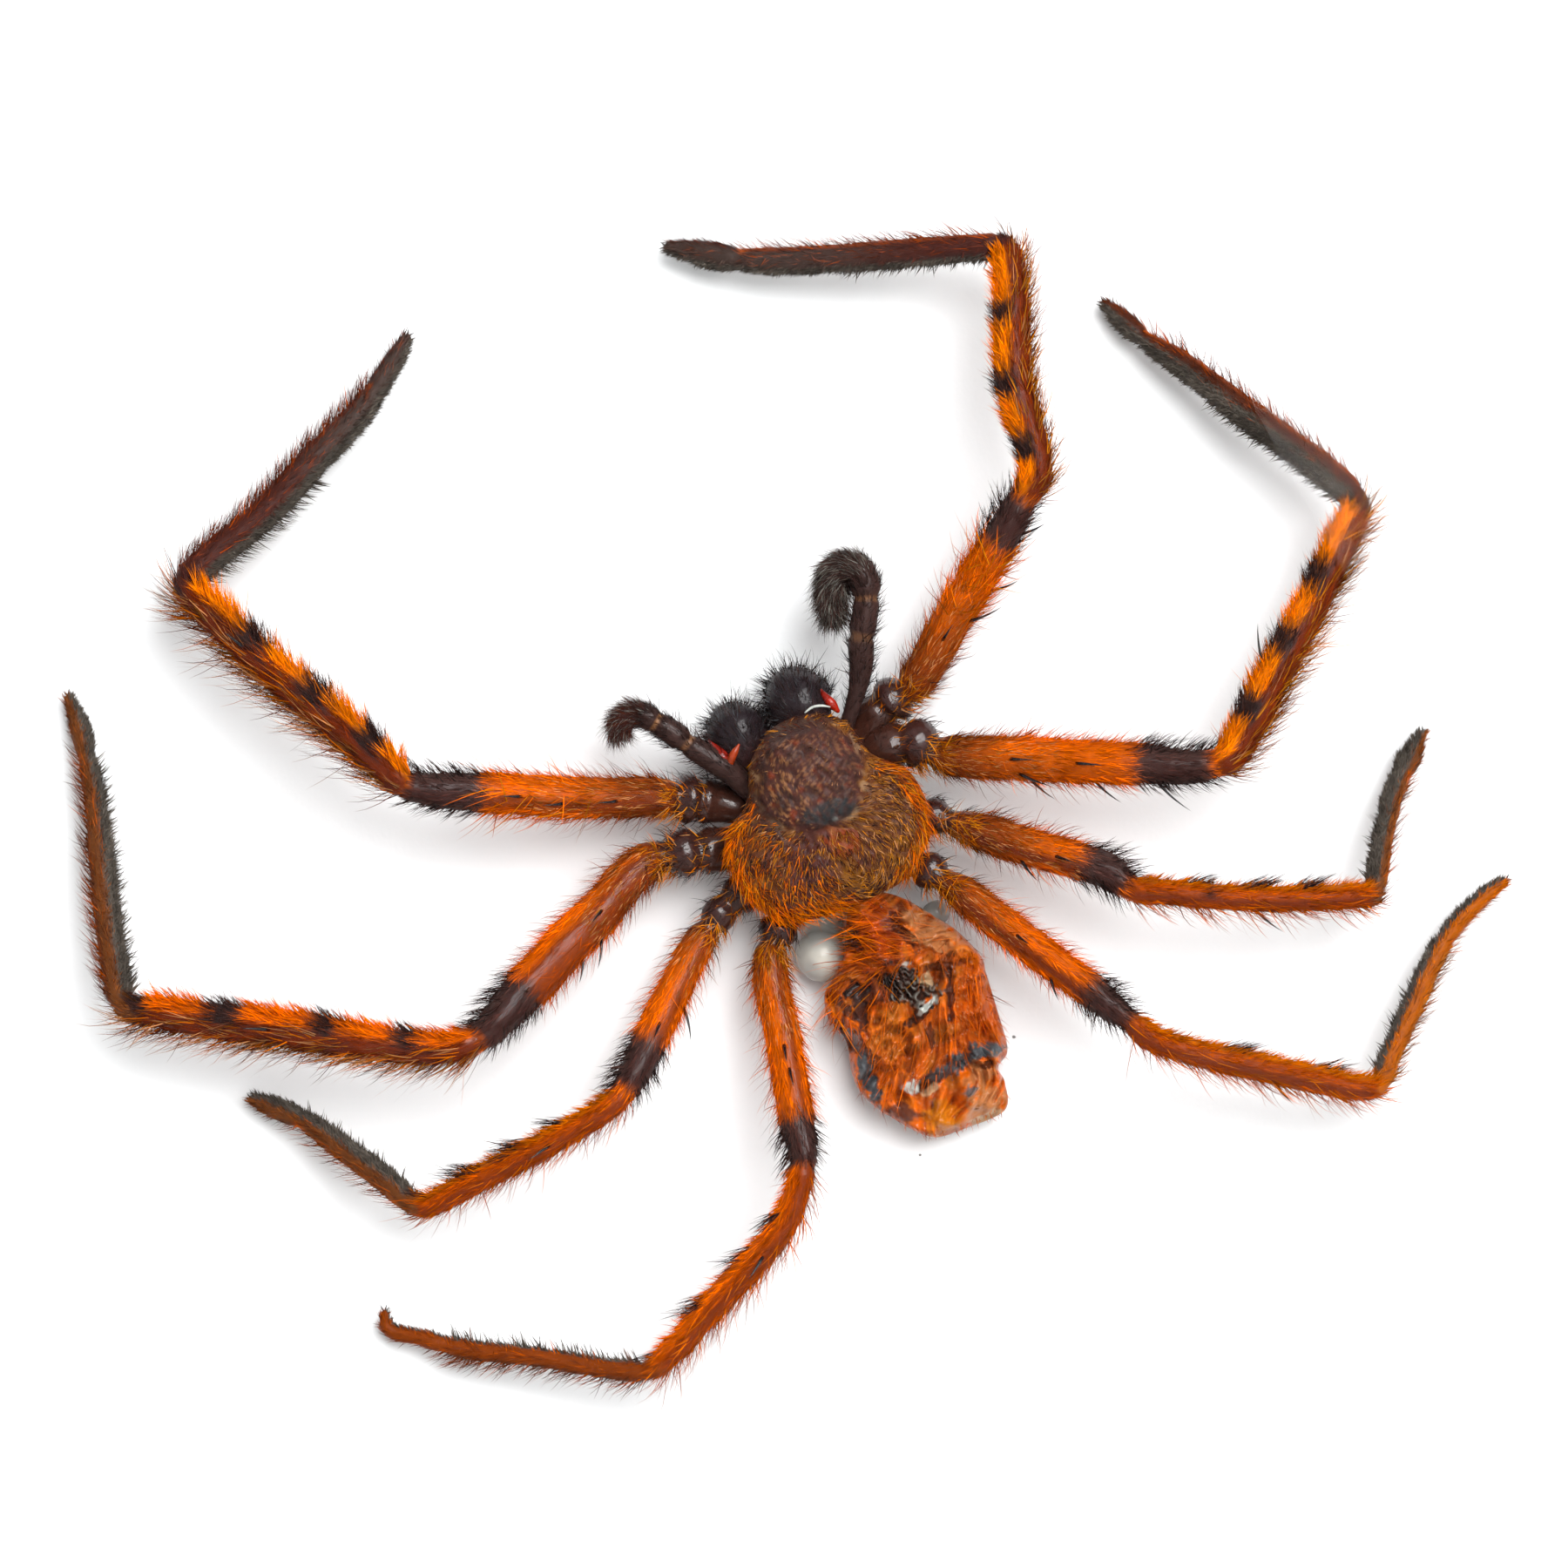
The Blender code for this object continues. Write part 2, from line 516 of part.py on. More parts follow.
def pin_profile():
    """List a pin's profile: a pointed shank and a domed head that stands on the hanger plate."""
    head_y = HANGER_THICKNESS + TOUCH_GAP
    tip_y = -PIN_HOLE_DEPTH
    profile = [(0.0, tip_y), (PIN_SHANK_RADIUS, tip_y + PIN_SHANK_RADIUS), (PIN_SHANK_RADIUS, head_y)]
    for step in range(PIN_DOME_STEPS):
        angle = math.pi / 2 * step / PIN_DOME_STEPS
        rise = PIN_HEAD_HEIGHT * math.sin(angle)
        profile.append((PIN_HEAD_RADIUS * math.cos(angle), head_y + rise))
    profile.append((0.0, head_y + PIN_HEAD_HEIGHT))
    return profile


def build_hanger(steel):
    """Make the toothed hanger plate and the two pins that hold it to the back panel."""
    plate_y = FIXING_FRONT - DEPTH / 2
    plate = make_piece(
        "hanger_plate", extruded(hanger_outline(), HANGER_THICKNESS), steel,
        location=(0, plate_y, hanger_height()),
    )
    for side, name in ((-1, "left"), (1, "right")):
        combine(plate, pin_hole(f"plate_hole_{name}", side, steel), "DIFFERENCE")
        place = (side * PIN_SPREAD, plate_y, hanger_height())
        make_piece(f"hanger_pin_{name}", turned(pin_profile(), PIN_SIDES), steel, location=place)


def build_retainers(steel):
    """Make the four pointed steel tabs that hold the back panel in the rebate."""
    half = RETAINER_WIDTH / 2
    wall = REBATE_WIDTH / 2 - TOUCH_GAP
    shoulder = wall - RETAINER_POINT
    outline = [(-half, RETAINER_REACH - wall), (-half, -shoulder), (0, -wall), (half, -shoulder)]
    outline.append((half, RETAINER_REACH - wall))
    for turn, side in enumerate(("bottom", "left", "top", "right")):
        make_piece(
            f"retainer_{side}", extruded(outline, RETAINER_THICKNESS), steel,
            location=(0.0, FIXING_FRONT - DEPTH / 2, OUTER / 2), rotation=(0.0, turn * math.pi / 2, 0.0),
        )


def limb_directions(places):
    """Give the direction of travel at each point, from its neighbours."""
    last = len(places) - 1
    pairs = [(places[max(index - 1, 0)], places[min(index + 1, last)]) for index in range(last + 1)]
    return [(after - before).normalized() for before, after in pairs]


def limb_shape(joints, sides, spines=()):
    """Make a closed limb of rings along its joints, with spines drawn out of its faces.

    The rings are carried along without twisting.
    """
    shape = bmesh.new()
    places = [joint.place for joint in joints]
    directions = limb_directions(places)
    across = directions[0].cross(Vector((0, 0, 1))).normalized()
    rings = []
    for index, joint in enumerate(joints):
        if index:
            across = directions[index - 1].rotation_difference(directions[index]) @ across
        over = across.cross(directions[index]).normalized()
        ring = []
        for side in range(sides):
            angle = 2 * math.pi * side / sides
            reach = across * math.cos(angle) + over * math.sin(angle) * LIMB_FLATNESS
            ring.append(shape.verts.new(joint.place + reach * joint.width / 2))
        rings.append(ring)
    seats = {spine_seat(places, spine, sides): spine for spine in spines}
    for row, (lower, upper) in enumerate(zip(rings, rings[1:])):
        for side in range(sides):
            after = (side + 1) % sides
            corners = [lower[side], lower[after], upper[after], upper[side]]
            if (row, side) in seats:
                add_spine(shape, corners, directions[row], seats[(row, side)].length)
            else:
                shape.faces.new(corners)
    shape.faces.new(rings[0])
    shape.faces.new(rings[-1])
    return shape


def spine_seat(places, spine, sides):
    """Find the face that a spine grows from: its row along the limb and its side."""
    steps = [(after - before).length for before, after in zip(places, places[1:])]
    target = spine.along * sum(steps)
    travelled = 0.0
    for row, step in enumerate(steps):
        travelled += step
        if travelled >= target:
            break
    return row, int(spine.angle / 360 * sides) % sides


def add_spine(shape, corners, direction, length):
    """Close a four-cornered gap with a small collar and a long point."""
    middle = sum((corner.co for corner in corners), Vector()) / 4
    along = ((corners[2].co + corners[3].co) - (corners[0].co + corners[1].co)).normalized()
    across = ((corners[1].co + corners[2].co) - (corners[0].co + corners[3].co)).normalized()
    out = across.cross(along).normalized()
    if out.dot(middle - sum((corner.co for corner in corners[:2]), Vector()) / 2) < 0:
        out = -out
    collar = []
    for back, left in ((-1, -1), (-1, 1), (1, 1), (1, -1)):
        offset = along * back + across * left
        collar.append(shape.verts.new(middle + offset * SPINE_BASE / 2))
    point = shape.verts.new(middle + (out + direction * SPINE_LEAN).normalized() * length)
    for index in range(4):
        after = (index + 1) % 4
        shape.faces.new((corners[index], corners[after], collar[after], collar[index]))
        shape.faces.new((collar[index], collar[after], point))


def smooth_outline(points, steps):
    """Round a closed outline with a curve through its points."""
    places = [Vector(point) for point in points]
    count = len(places)
    result = []
    for index in range(count):
        before, start, end, after = (places[(index + k) % count] for k in (-1, 0, 1, 2))
        for step in range(steps):
            t = step / steps
            pull = (end - before) * t + (2 * before - 5 * start + 4 * end - after) * t**2
            pull += (3 * start - before - 3 * end + after) * t**3
            result.append(start + pull / 2)
    return result


def lofted(outline, middle, levels, height):
    """Loft a closed body of rings that follow the outline, from its lowest level to its highest."""
    shape = bmesh.new()
    rings = []
    for level in levels:
        spots = [middle + (point - middle) * level.size for point in outline]
        if level.size == 0.0:
            spots = [middle]
        rings.append([shape.verts.new((spot.x, spot.y, height(spot, level))) for spot in spots])
    bridge_rings(shape, rings)
    return shape


def carapace_outline():
    """List the carapace's oval outline, a little squarer than an ellipse."""
    points = []
    for index in range(CARAPACE_SIDES):
        angle = 2 * math.pi * index / CARAPACE_SIDES
        power = 2 / CARAPACE_SQUARENESS
        right = math.copysign(abs(math.cos(angle)) ** power, math.cos(angle))
        front = math.copysign(abs(math.sin(angle)) ** power, math.sin(angle))
        reach = Vector((right * CARAPACE_HALF_WIDTH, front * CARAPACE_HALF_LENGTH))
        points.append(CARAPACE_MIDDLE + reach)
    return points


def smooth_step(value):
    """Ease from 0 to 1 as the value goes from 0 to 1."""
    value = min(max(value, 0.0), 1.0)
    return value * value * (3 - 2 * value)


def carapace_height(spot, level):
    """Give the height of a point on the carapace, with the head and the pit on its upper side."""
    if level.lift < CARAPACE_RIM_LIFT:
        return level.lift
    inside = (HEAD_RADIUS - (spot - HEAD_MIDDLE).length) / HEAD_EDGE
    head = smooth_step(inside)
    pit = math.exp(-(((spot - PIT_MIDDLE).length / PIT_RADIUS) ** 2))
    fade = min(1.0, (1 - level.size) / CARAPACE_RIM_FADE)
    return level.lift + fade * (HEAD_RISE * head - PIT_DEPTH * pit)


def abdomen_height(spot, level):
    """Give the height of a point on the shrivelled abdomen: it slopes to the rear and is folded."""
    height = ABDOMEN_MIDDLE_LIFT + ABDOMEN_SLOPE * (spot.y - ABDOMEN_MIDDLE.y) + level.lift
    if level.lift > 0:
        folds = math.sin(spot.x * 2.9 + 0.9 * math.sin(spot.y * 0.9))
        folds += 0.5 * math.sin(spot.y * 1.9 + 1.3 * math.sin(spot.x * 1.3))
        relief = sum(swelling.at(spot) for swelling in ABDOMEN_RELIEF)
        height += (ABDOMEN_FOLD * folds + relief) * min(1.0, level.lift)
    return max(height, ABDOMEN_LOWEST)


def build_body(spider, chitin, sack, dark):
    """Make the front body, the rear body and the jaws."""
    shape = lofted(carapace_outline(), CARAPACE_MIDDLE, CARAPACE_LEVELS, carapace_height)
    make_piece("carapace", shape, chitin, parent=spider)
    outline = smooth_outline(ABDOMEN_OUTLINE, ABDOMEN_STEPS)
    shape = lofted(outline, ABDOMEN_MIDDLE, ABDOMEN_LEVELS, abdomen_height)
    make_piece("abdomen", shape, sack, parent=spider)
    for name, joints in JAW_JOINTS.items():
        make_piece(name, limb_shape(joints, JAW_SIDES), dark, parent=spider)


def build_limbs(spider, leg, palp):
    """Make the eight legs with their spines, and the two palps."""
    for name, joints in LEG_JOINTS.items():
        make_piece(name, limb_shape(joints, LEG_SIDES, LEG_SPINES), leg, parent=spider)
    for name, joints in PALP_JOINTS.items():
        make_piece(name, limb_shape(joints, LEG_SIDES), palp, parent=spider)


def glue_bead(name, bead, glue, spider):
    """Make a rounded bead of glue."""
    shape = bmesh.new()
    bmesh.ops.create_uvsphere(shape, u_segments=GLUE_TURNS, v_segments=GLUE_ROWS, radius=1.0)
    bmesh.ops.scale(shape, vec=bead.radii, verts=shape.verts)
    bmesh.ops.translate(shape, vec=bead.place, verts=shape.verts)
    return make_piece(name, shape, glue, parent=spider)


def build_glue(spider, glue):
    """Make a bead of glue at each side of the waist, the left one joined to what holds the sternum."""
    trim = slab(GLUE_TRIM_SIDE, GLUE_TRIM_SIDE, GLUE_TRIM_DEPTH)
    place = (0.0, 0.0, TOUCH_GAP - GLUE_TRIM_DEPTH / 2)
    below = make_piece("glue_trim", trim, glue, parent=spider, location=place)
    left = glue_bead("glue_left", GLUE_LEFT, glue, spider)
    combine(left, glue_bead("glue_neck", GLUE_NECK, glue, spider), "UNION")
    combine(left, glue_bead("glue_seat", GLUE_SEAT, glue, spider), "UNION")
    combine(left, below, "DIFFERENCE")
    right = glue_bead("glue_right", GLUE_RIGHT, glue, spider)
    combine(right, below, "DIFFERENCE")


def build():
    """Make the whole framed specimen."""
    clear_scene()
    steel = make_material("zinc_steel", (0.55, 0.56, 0.57), 0.35, metallic=1.0)
    build_rails(make_material("black_stained_wood", (0.03, 0.027, 0.025), 0.5))
    build_layers(
        make_material("clear_glass", (0.95, 0.97, 0.96), 0.05, alpha=0.15),
        make_material("white_foam_board", (0.86, 0.87, 0.87), 0.8),
        make_material("white_card", (0.88, 0.89, 0.9), 0.75),
        make_material("brown_fibre_board", (0.32, 0.2, 0.11), 0.7),
    )
    build_hanger(steel)
    build_retainers(steel)

    card_y = CARD_FRONT - DEPTH / 2
    place = (SPIDER_RIGHT, card_y, OUTER / 2 - SPIDER_DOWN)
    spider = make_empty("spider", place, rotation=(math.pi / 2, 0.0, 0.0))
    build_body(
        spider,
        make_material("carapace_brown", (0.16, 0.06, 0.02), 0.6),
        make_material("abdomen_orange", (0.35, 0.1, 0.02), 0.6),
        make_material("jaw_black", (0.02, 0.018, 0.02), 0.6),
    )
    build_limbs(
        spider,
        make_material("leg_orange", (0.5, 0.13, 0.01), 0.55),
        make_material("palp_brown", (0.06, 0.035, 0.03), 0.6),
    )
    build_glue(spider, make_material("dried_glue", (0.85, 0.86, 0.84), 0.15, alpha=0.6))


build()
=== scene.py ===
"""Looks of a dried huntsman spider glued to a white card in a shallow box frame.

Everything is worked out in millimetres and turned into metres as each mesh is made. The spider
has its own axes: x to the viewer's right, y towards its head and lift straight off the card.
"""
import logging
import math
from dataclasses import dataclass
from enum import Enum
from typing import Callable, Optional, Sequence, Union

import bmesh
import bpy
import numpy as np
from mathutils import Matrix, Vector


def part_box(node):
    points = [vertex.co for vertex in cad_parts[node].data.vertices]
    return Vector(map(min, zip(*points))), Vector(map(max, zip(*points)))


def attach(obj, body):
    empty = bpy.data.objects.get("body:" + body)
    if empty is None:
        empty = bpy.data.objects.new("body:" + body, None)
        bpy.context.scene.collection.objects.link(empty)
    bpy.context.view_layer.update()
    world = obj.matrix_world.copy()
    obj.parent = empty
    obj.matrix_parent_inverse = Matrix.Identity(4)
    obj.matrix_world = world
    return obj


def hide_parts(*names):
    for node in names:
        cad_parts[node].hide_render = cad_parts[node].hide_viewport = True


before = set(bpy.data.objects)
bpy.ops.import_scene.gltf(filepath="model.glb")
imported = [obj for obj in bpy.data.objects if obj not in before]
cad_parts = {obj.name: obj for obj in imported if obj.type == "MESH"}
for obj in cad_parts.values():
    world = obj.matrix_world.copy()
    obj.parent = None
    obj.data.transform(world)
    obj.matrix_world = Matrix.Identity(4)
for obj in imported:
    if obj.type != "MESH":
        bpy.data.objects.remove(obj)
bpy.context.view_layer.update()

LOG = logging.getLogger("huntsman")
MM = 0.001
BODY = "root"
MAP_NAME = "OFBake"
TINT_NAME = "tint"
STRAND_NAME = "strand"

# Where the spider's origin lies, from the frame's middle and above its foot
SPIDER_RIGHT = 2.5
SPIDER_UP = 87.0

Array = np.ndarray
Pair = tuple[float, float]
Triple = tuple[float, float, float]
Colour = Triple
Material = bpy.types.Material
Piece = bpy.types.Object

# The finishes of a furred piece, in the order of Part
Materials = Sequence[Material]


class Tint(Enum):
    """The colours of the spider's skin and hair, as linear light."""

    ORANGE = (0.78, 0.13, 0.0)
    BLAZE = (0.88, 0.2, 0.0)
    AMBER = (0.56, 0.122, 0.0)
    GOLD = (0.56, 0.18, 0.004)
    OCHRE = (0.28, 0.105, 0.012)
    HAZEL = (0.2, 0.06, 0.014)
    RUSSET = (0.3, 0.052, 0.002)
    COPPER = (0.43, 0.063, 0.0)
    RUST = (0.2, 0.026, 0.003)
    UMBER = (0.09, 0.019, 0.006)
    PLUM = (0.062, 0.02, 0.016)
    DUSK = (0.075, 0.036, 0.03)
    SOOT = (0.038, 0.018, 0.015)
    BLACK = (0.016, 0.011, 0.01)
    MOSS = (0.098, 0.082, 0.067)
    SLATE = (0.06, 0.065, 0.07)
    ASH = (0.24, 0.23, 0.2)
    TAN = (0.5, 0.22, 0.08)
    CLAY = (0.36, 0.145, 0.05)
    BUFF = (0.5, 0.33, 0.18)
    SCARLET = (0.34, 0.012, 0.003)
    CHALK = (0.55, 0.57, 0.52)
    BLOOD = (0.34, 0.036, 0.005)


class Part(Enum):
    """Which of a furred piece's finishes a face takes."""

    SKIN = 0
    HAIR = 1
    HORN = 2
    GLOSS = 3


# Hair colours, each with how common it is
Blend = tuple[tuple[Tint, float], ...]

# A limb's middle line: x, y, lift and its width with short hair, at each joint
Path = tuple[tuple[float, float, float, float], ...]

# Colours, each with its weight at every spot
Layers = Sequence[tuple[Union[Tint, Colour], Array]]


def blend(**shares: float) -> Blend:
    """Lists hair colours by name, each with how common it is."""
    return tuple((Tint[name], share) for name, share in shares.items())


def unit(vectors: Array) -> Array:
    """Scales vectors to length 1."""
    return vectors / np.maximum(np.linalg.norm(vectors, axis=-1, keepdims=True), 1e-9)


def turned(vectors: Array, axes: Array, degrees: Array) -> Array:
    """Turns each vector about an axis at right angles to it."""
    angles = np.radians(degrees)[:, None]
    return vectors * np.cos(angles) + np.cross(axes, vectors) * np.sin(angles)


def ease(values: Array) -> Array:
    """Eases from 0 to 1 as the values go from 0 to 1."""
    held = np.clip(values, 0.0, 1.0)
    return held * held * (3.0 - 2.0 * held)


def within(values: Array, low: float, high: float, edge: float) -> Array:
    """Says how far values lie inside a range, from 0 to 1, with soft ends.

    Args:
        values: the numbers to test.
        low: the start of the range.
        high: its end.
        edge: how wide each soft end is.

    Returns:
        A weight for each value.
    """
    return ease((values - low) / edge + 0.5) * ease((high - values) / edge + 0.5)


def tinted(base: Array, tint: Union[Tint, Colour], weight: Array) -> Array:
    """Mixes one colour over others by a weight for each."""
    colour = np.array(tint.value if isinstance(tint, Tint) else tint)
    return base + (colour - base) * weight[:, None]


def layered(count: int, base: Union[Tint, Colour], layers: Layers) -> Array:
    """Paints layers over a base colour.

    Args:
        count: how many spots there are.
        base: the colour under all.
        layers: each colour with its weight at every spot, the lowest first.

    Returns:
        One colour a row.
    """
    colours = np.tile(base.value if isinstance(base, Tint) else base, (count, 1))
    for tint, weight in layers:
        colours = tinted(colours, tint, weight)
    return colours


def pick(rng: np.random.Generator, count: int, choices: Blend) -> Array:
    """Picks a colour for each strand.

    Args:
        rng: the seeded source of chance.
        count: how many strands there are.
        choices: the colours and how common each is.

    Returns:
        One colour a row.
    """
    colours = np.array([tint.value for tint, _ in choices])
    shares = np.array([share for _, share in choices])
    return colours[rng.choice(len(choices), size=count, p=shares / shares.sum())]


class Ripple:
    """Smooth seeded unevenness: a sum of waves in random directions, about -1 to 1."""

    def __init__(self, seed: int, wavelength: float, waves: int = 14, axes: int = 3) -> None:
        """Draws the waves' directions and phases.

        Args:
            seed: the seed of the draw.
            wavelength: the middle wavelength in millimetres.
            waves: how many waves are added.
            axes: how many coordinates a spot has.
        """
        rng = np.random.default_rng(seed)
        ways = unit(rng.normal(size=(waves, axes)))
        lengths = wavelength * rng.uniform(0.6, 1.7, size=(waves, 1))
        self.turns = ways * (2 * math.pi / lengths)
        self.phases = rng.uniform(0, 2 * math.pi, size=waves)
        self.level = math.sqrt(2.0 / waves) * 0.75

    def at(self, spots: Array) -> Array:
        """Gives the unevenness at each spot."""
        return np.sin(spots @ self.turns.T + self.phases).sum(axis=1) * self.level


class Wire:
    """A socket in a material's nodes. Python's operators on it add Math nodes."""

    def __init__(self, recipe: "Recipe", socket: bpy.types.NodeSocket) -> None:
        """Keeps the socket and the recipe that it belongs to."""
        self.recipe = recipe
        self.socket = socket

    def _math(self, operation: str, first: "Value", second: "Value") -> "Wire":
        """Adds one Math node on two values."""
        return self.recipe.node("ShaderNodeMath", {"operation": operation}, {0: first, 1: second})

    def __add__(self, other: "Value") -> "Wire":
        """Adds a value."""
        return self._math("ADD", self, other)

    def __radd__(self, other: "Value") -> "Wire":
        """Adds to a value."""
        return self._math("ADD", other, self)

    def __sub__(self, other: "Value") -> "Wire":
        """Takes a value away."""
        return self._math("SUBTRACT", self, other)

    def __rsub__(self, other: "Value") -> "Wire":
        """Takes away from a value."""
        return self._math("SUBTRACT", other, self)

    def __mul__(self, other: "Value") -> "Wire":
        """Multiplies by a value."""
        return self._math("MULTIPLY", self, other)

    def __rmul__(self, other: "Value") -> "Wire":
        """Multiplies a value."""
        return self._math("MULTIPLY", other, self)

    def step(self, low: float, high: float) -> "Wire":
        """Eases from 0 to 1 between two values."""
        settings = {"interpolation_type": "SMOOTHSTEP"}
        values = {"Value": self, "From Min": low, "From Max": high}
        return self.recipe.node("ShaderNodeMapRange", settings, values)


Value = Union[Wire, float]


class Recipe:
    """A material's nodes as they are put together."""

    def __init__(self, name: str) -> None:
        """Starts a material with its one Principled shader.

        Args:
            name: the material's name.
        """
        self.material = bpy.data.materials.new(name)
        self.material.use_nodes = True
        self.tree = self.material.node_tree
        self.shader = self.tree.nodes["Principled BSDF"]

    def node(
        self,
        kind: str,
        settings: Optional[dict] = None,
        values: Optional[dict] = None,
        output: Union[int, str] = 0,
    ) -> Wire:
        """Adds a node.

        Args:
            kind: the node's type.
            settings: its properties, set first.
            values: numbers, colours or wires for its sockets, by name or place.
            output: which of its outputs is wanted.

        Returns:
            The wire that leaves the node.
        """
        node = self.tree.nodes.new(kind)
        for key, value in (settings or {}).items():
            setattr(node, key, value)
        for key, value in (values or {}).items():
            self.plug(node.inputs[key], value)
        return Wire(self, node.outputs[output])

    def plug(self, socket: bpy.types.NodeSocket, value: Union[Value, Colour]) -> None:
        """Links a wire to a socket, or sets the socket's own value.

        Args:
            socket: the socket.
            value: a wire, a number or a colour.
        """
        if isinstance(value, Wire):
            self.tree.links.new(value.socket, socket)
        elif isinstance(value, tuple) and socket.type == "RGBA":
            socket.default_value = (*value, 1.0)
        else:
            socket.default_value = value

    def attribute(self, name: str, output: str) -> Wire:
        """Reads a mesh attribute by name."""
        return self.node("ShaderNodeAttribute", {"attribute_name": name}, None, output)

    def place(self) -> Wire:
        """Gives the place in the object's own axes, in metres."""
        return self.node("ShaderNodeTexCoord", None, None, "Object")

    def stretched(self, scale: Colour) -> Wire:
        """Gives the place with each axis scaled, for patterns longer one way."""
        settings = {"operation": "MULTIPLY"}
        return self.node("ShaderNodeVectorMath", settings, {0: self.place(), 1: scale})

    def noise(self, scale: float, detail: float = 3.0, vector: Optional[Wire] = None) -> Wire:
        """Adds smooth noise, from 0 to 1."""
        values = {"Vector": vector or self.place(), "Scale": scale, "Detail": detail}
        return self.node("ShaderNodeTexNoise", None, values)

    def mix(self, share: Value, first: Union[Wire, Colour], second: Union[Wire, Colour]) -> Wire:
        """Mixes two colours by a share of the second."""
        settings = {"data_type": "RGBA"}
        return self.node("ShaderNodeMix", settings, {0: share, 6: first, 7: second}, 2)

    def scaled(self, colour: Wire, factor: Value) -> Wire:
        """Makes a colour lighter or darker."""
        settings = {"operation": "SCALE"}
        return self.node("ShaderNodeVectorMath", settings, {0: colour, "Scale": factor})

    def bump(self, height: Wire, distance: float, strength: float = 1.0) -> Wire:
        """Turns a height into a bumped normal, where distance is in millimetres."""
        values = {"Height": height, "Distance": distance * MM, "Strength": strength}
        return self.node("ShaderNodeBump", None, values)

    def done(self, **values: Union[Value, Colour]) -> Material:
        """Sets the shader's sockets, named with _ for a space.

        Args:
            values: a number, colour or wire for each socket.

        Returns:
            The finished material.
        """
        for key, value in values.items():
            self.plug(self.shader.inputs[key.replace("_", " ")], value)
        return self.material


@dataclass(frozen=True)
class HairFinish:
    """Fine hair: its colour comes with each strand, darker at the root as painted shade and paler towards the
    tip.
    """

    name: str = "spider_hair"
    roughness: float = 0.6
    dark: float = 0.35
    light: float = 1.5

    def material(self) -> Material:
        """Makes the hair material.

        Returns:
            The material.
        """
        recipe = Recipe(self.name)
        strand = recipe.attribute(STRAND_NAME, "Fac")
        tint = recipe.attribute(TINT_NAME, "Color")
        base = recipe.scaled(tint, strand * (self.light - self.dark) + self.dark)
        return recipe.done(Base_Color=base, Roughness=self.roughness, Specular_IOR_Level=0.0)


@dataclass(frozen=True)
class SkinFinish:
    """Dried skin: mottled and finely wrinkled, and as glossy as its strand value says."""

    name: str = "spider_skin"
    roughness: float = 0.42
    wrinkle: float = 0.04
    mottle: float = 0.6

    def material(self) -> Material:
        """Makes the skin material.

        Returns:
            The material.
        """
        recipe = Recipe(self.name)
        tint = recipe.attribute(TINT_NAME, "Color")
        gloss = recipe.attribute(STRAND_NAME, "Fac")
        patches = recipe.noise(900.0, 3.0)
        grain = recipe.noise(4200.0, 2.0)
        shade = (patches - 0.5) * self.mottle + (grain - 0.5) * self.mottle + 1.0
        return recipe.done(
            Base_Color=recipe.scaled(tint, shade),
            Roughness=self.roughness + (grain - 0.5) * 0.3 - gloss * 0.15,
            Specular_IOR_Level=0.07,
            Coat_Weight=gloss,
            Coat_Roughness=0.1,
            Normal=recipe.bump(grain + patches * 0.7, self.wrinkle),
        )


@dataclass(frozen=True)
class HornFinish:
    """Hard shiny black spines and claws, brown in places."""

    name: str = "spider_horn"
    dark: Colour = (0.006, 0.005, 0.006)
    warm: Colour = (0.05, 0.018, 0.01)

    def material(self) -> Material:
        """Makes the horn material.

        Returns:
            The material.
        """
        recipe = Recipe(self.name)
        base = recipe.mix(recipe.noise(700.0).step(0.55, 0.7), self.dark, self.warm)
        return recipe.done(Base_Color=base, Roughness=0.22)


@dataclass(frozen=True)
class GlossFinish:
    """Wet-looking red membrane beside the jaws, and a pale strip on it painted as a highlight."""

    name: str = "membrane_and_painted_highlight"

    def material(self) -> Material:
        """Makes the membrane material.

        Returns:
            The material.
        """
        recipe = Recipe(self.name)
        deep = recipe.noise(1500.0).step(0.35, 0.7)
        base = recipe.scaled(recipe.attribute(TINT_NAME, "Color"), 1.0 - deep * 0.5)
        return recipe.done(Base_Color=base, Roughness=0.2, Specular_IOR_Level=0.2, Coat_Weight=0.35)


@dataclass(frozen=True)
class GlueFinish:
    """Dried clear glue, a little milky."""

    name: str = "dried_glue"

    def material(self) -> Material:
        """Makes the glue material.

        Returns:
            The material.
        """
        recipe = Recipe(self.name)
        milky = recipe.noise(420.0, 2.0).step(0.3, 0.75)
        base = recipe.mix(milky, (0.4, 0.39, 0.36), (0.74, 0.7, 0.6))
        return recipe.done(
            Base_Color=base, Roughness=0.1, Specular_IOR_Level=0.3, Alpha=milky * 0.1 + 0.82,
        )


@dataclass(frozen=True)
class WoodFinish:
    """Black-stained wood with open grain along the rail."""

    name: str
    along: int
    dark: Colour = (0.012, 0.011, 0.0105)
    light: Colour = (0.045, 0.04, 0.037)

    def material(self) -> Material:
        """Makes the wood material.

        Returns:
            The material.
        """
        recipe = Recipe(self.name)
        fine = tuple(25.0 if axis == self.along else 900.0 for axis in range(3))
        broad = tuple(8.0 if axis == self.along else 120.0 for axis in range(3))
        pores = recipe.noise(1.0, 4.0, recipe.stretched(fine))
        figure = recipe.noise(1.0, 3.0, recipe.stretched(broad))
        base = recipe.mix(figure.step(0.3, 0.7) * 0.6 + pores * 0.4, self.dark, self.light)
        groove = pores.step(0.35, 0.5)
        rough = 0.5 - groove * 0.12 + figure * 0.1
        normal = recipe.bump(groove + figure * 0.4, 0.12)
        return recipe.done(Base_Color=base, Roughness=rough, Normal=normal)


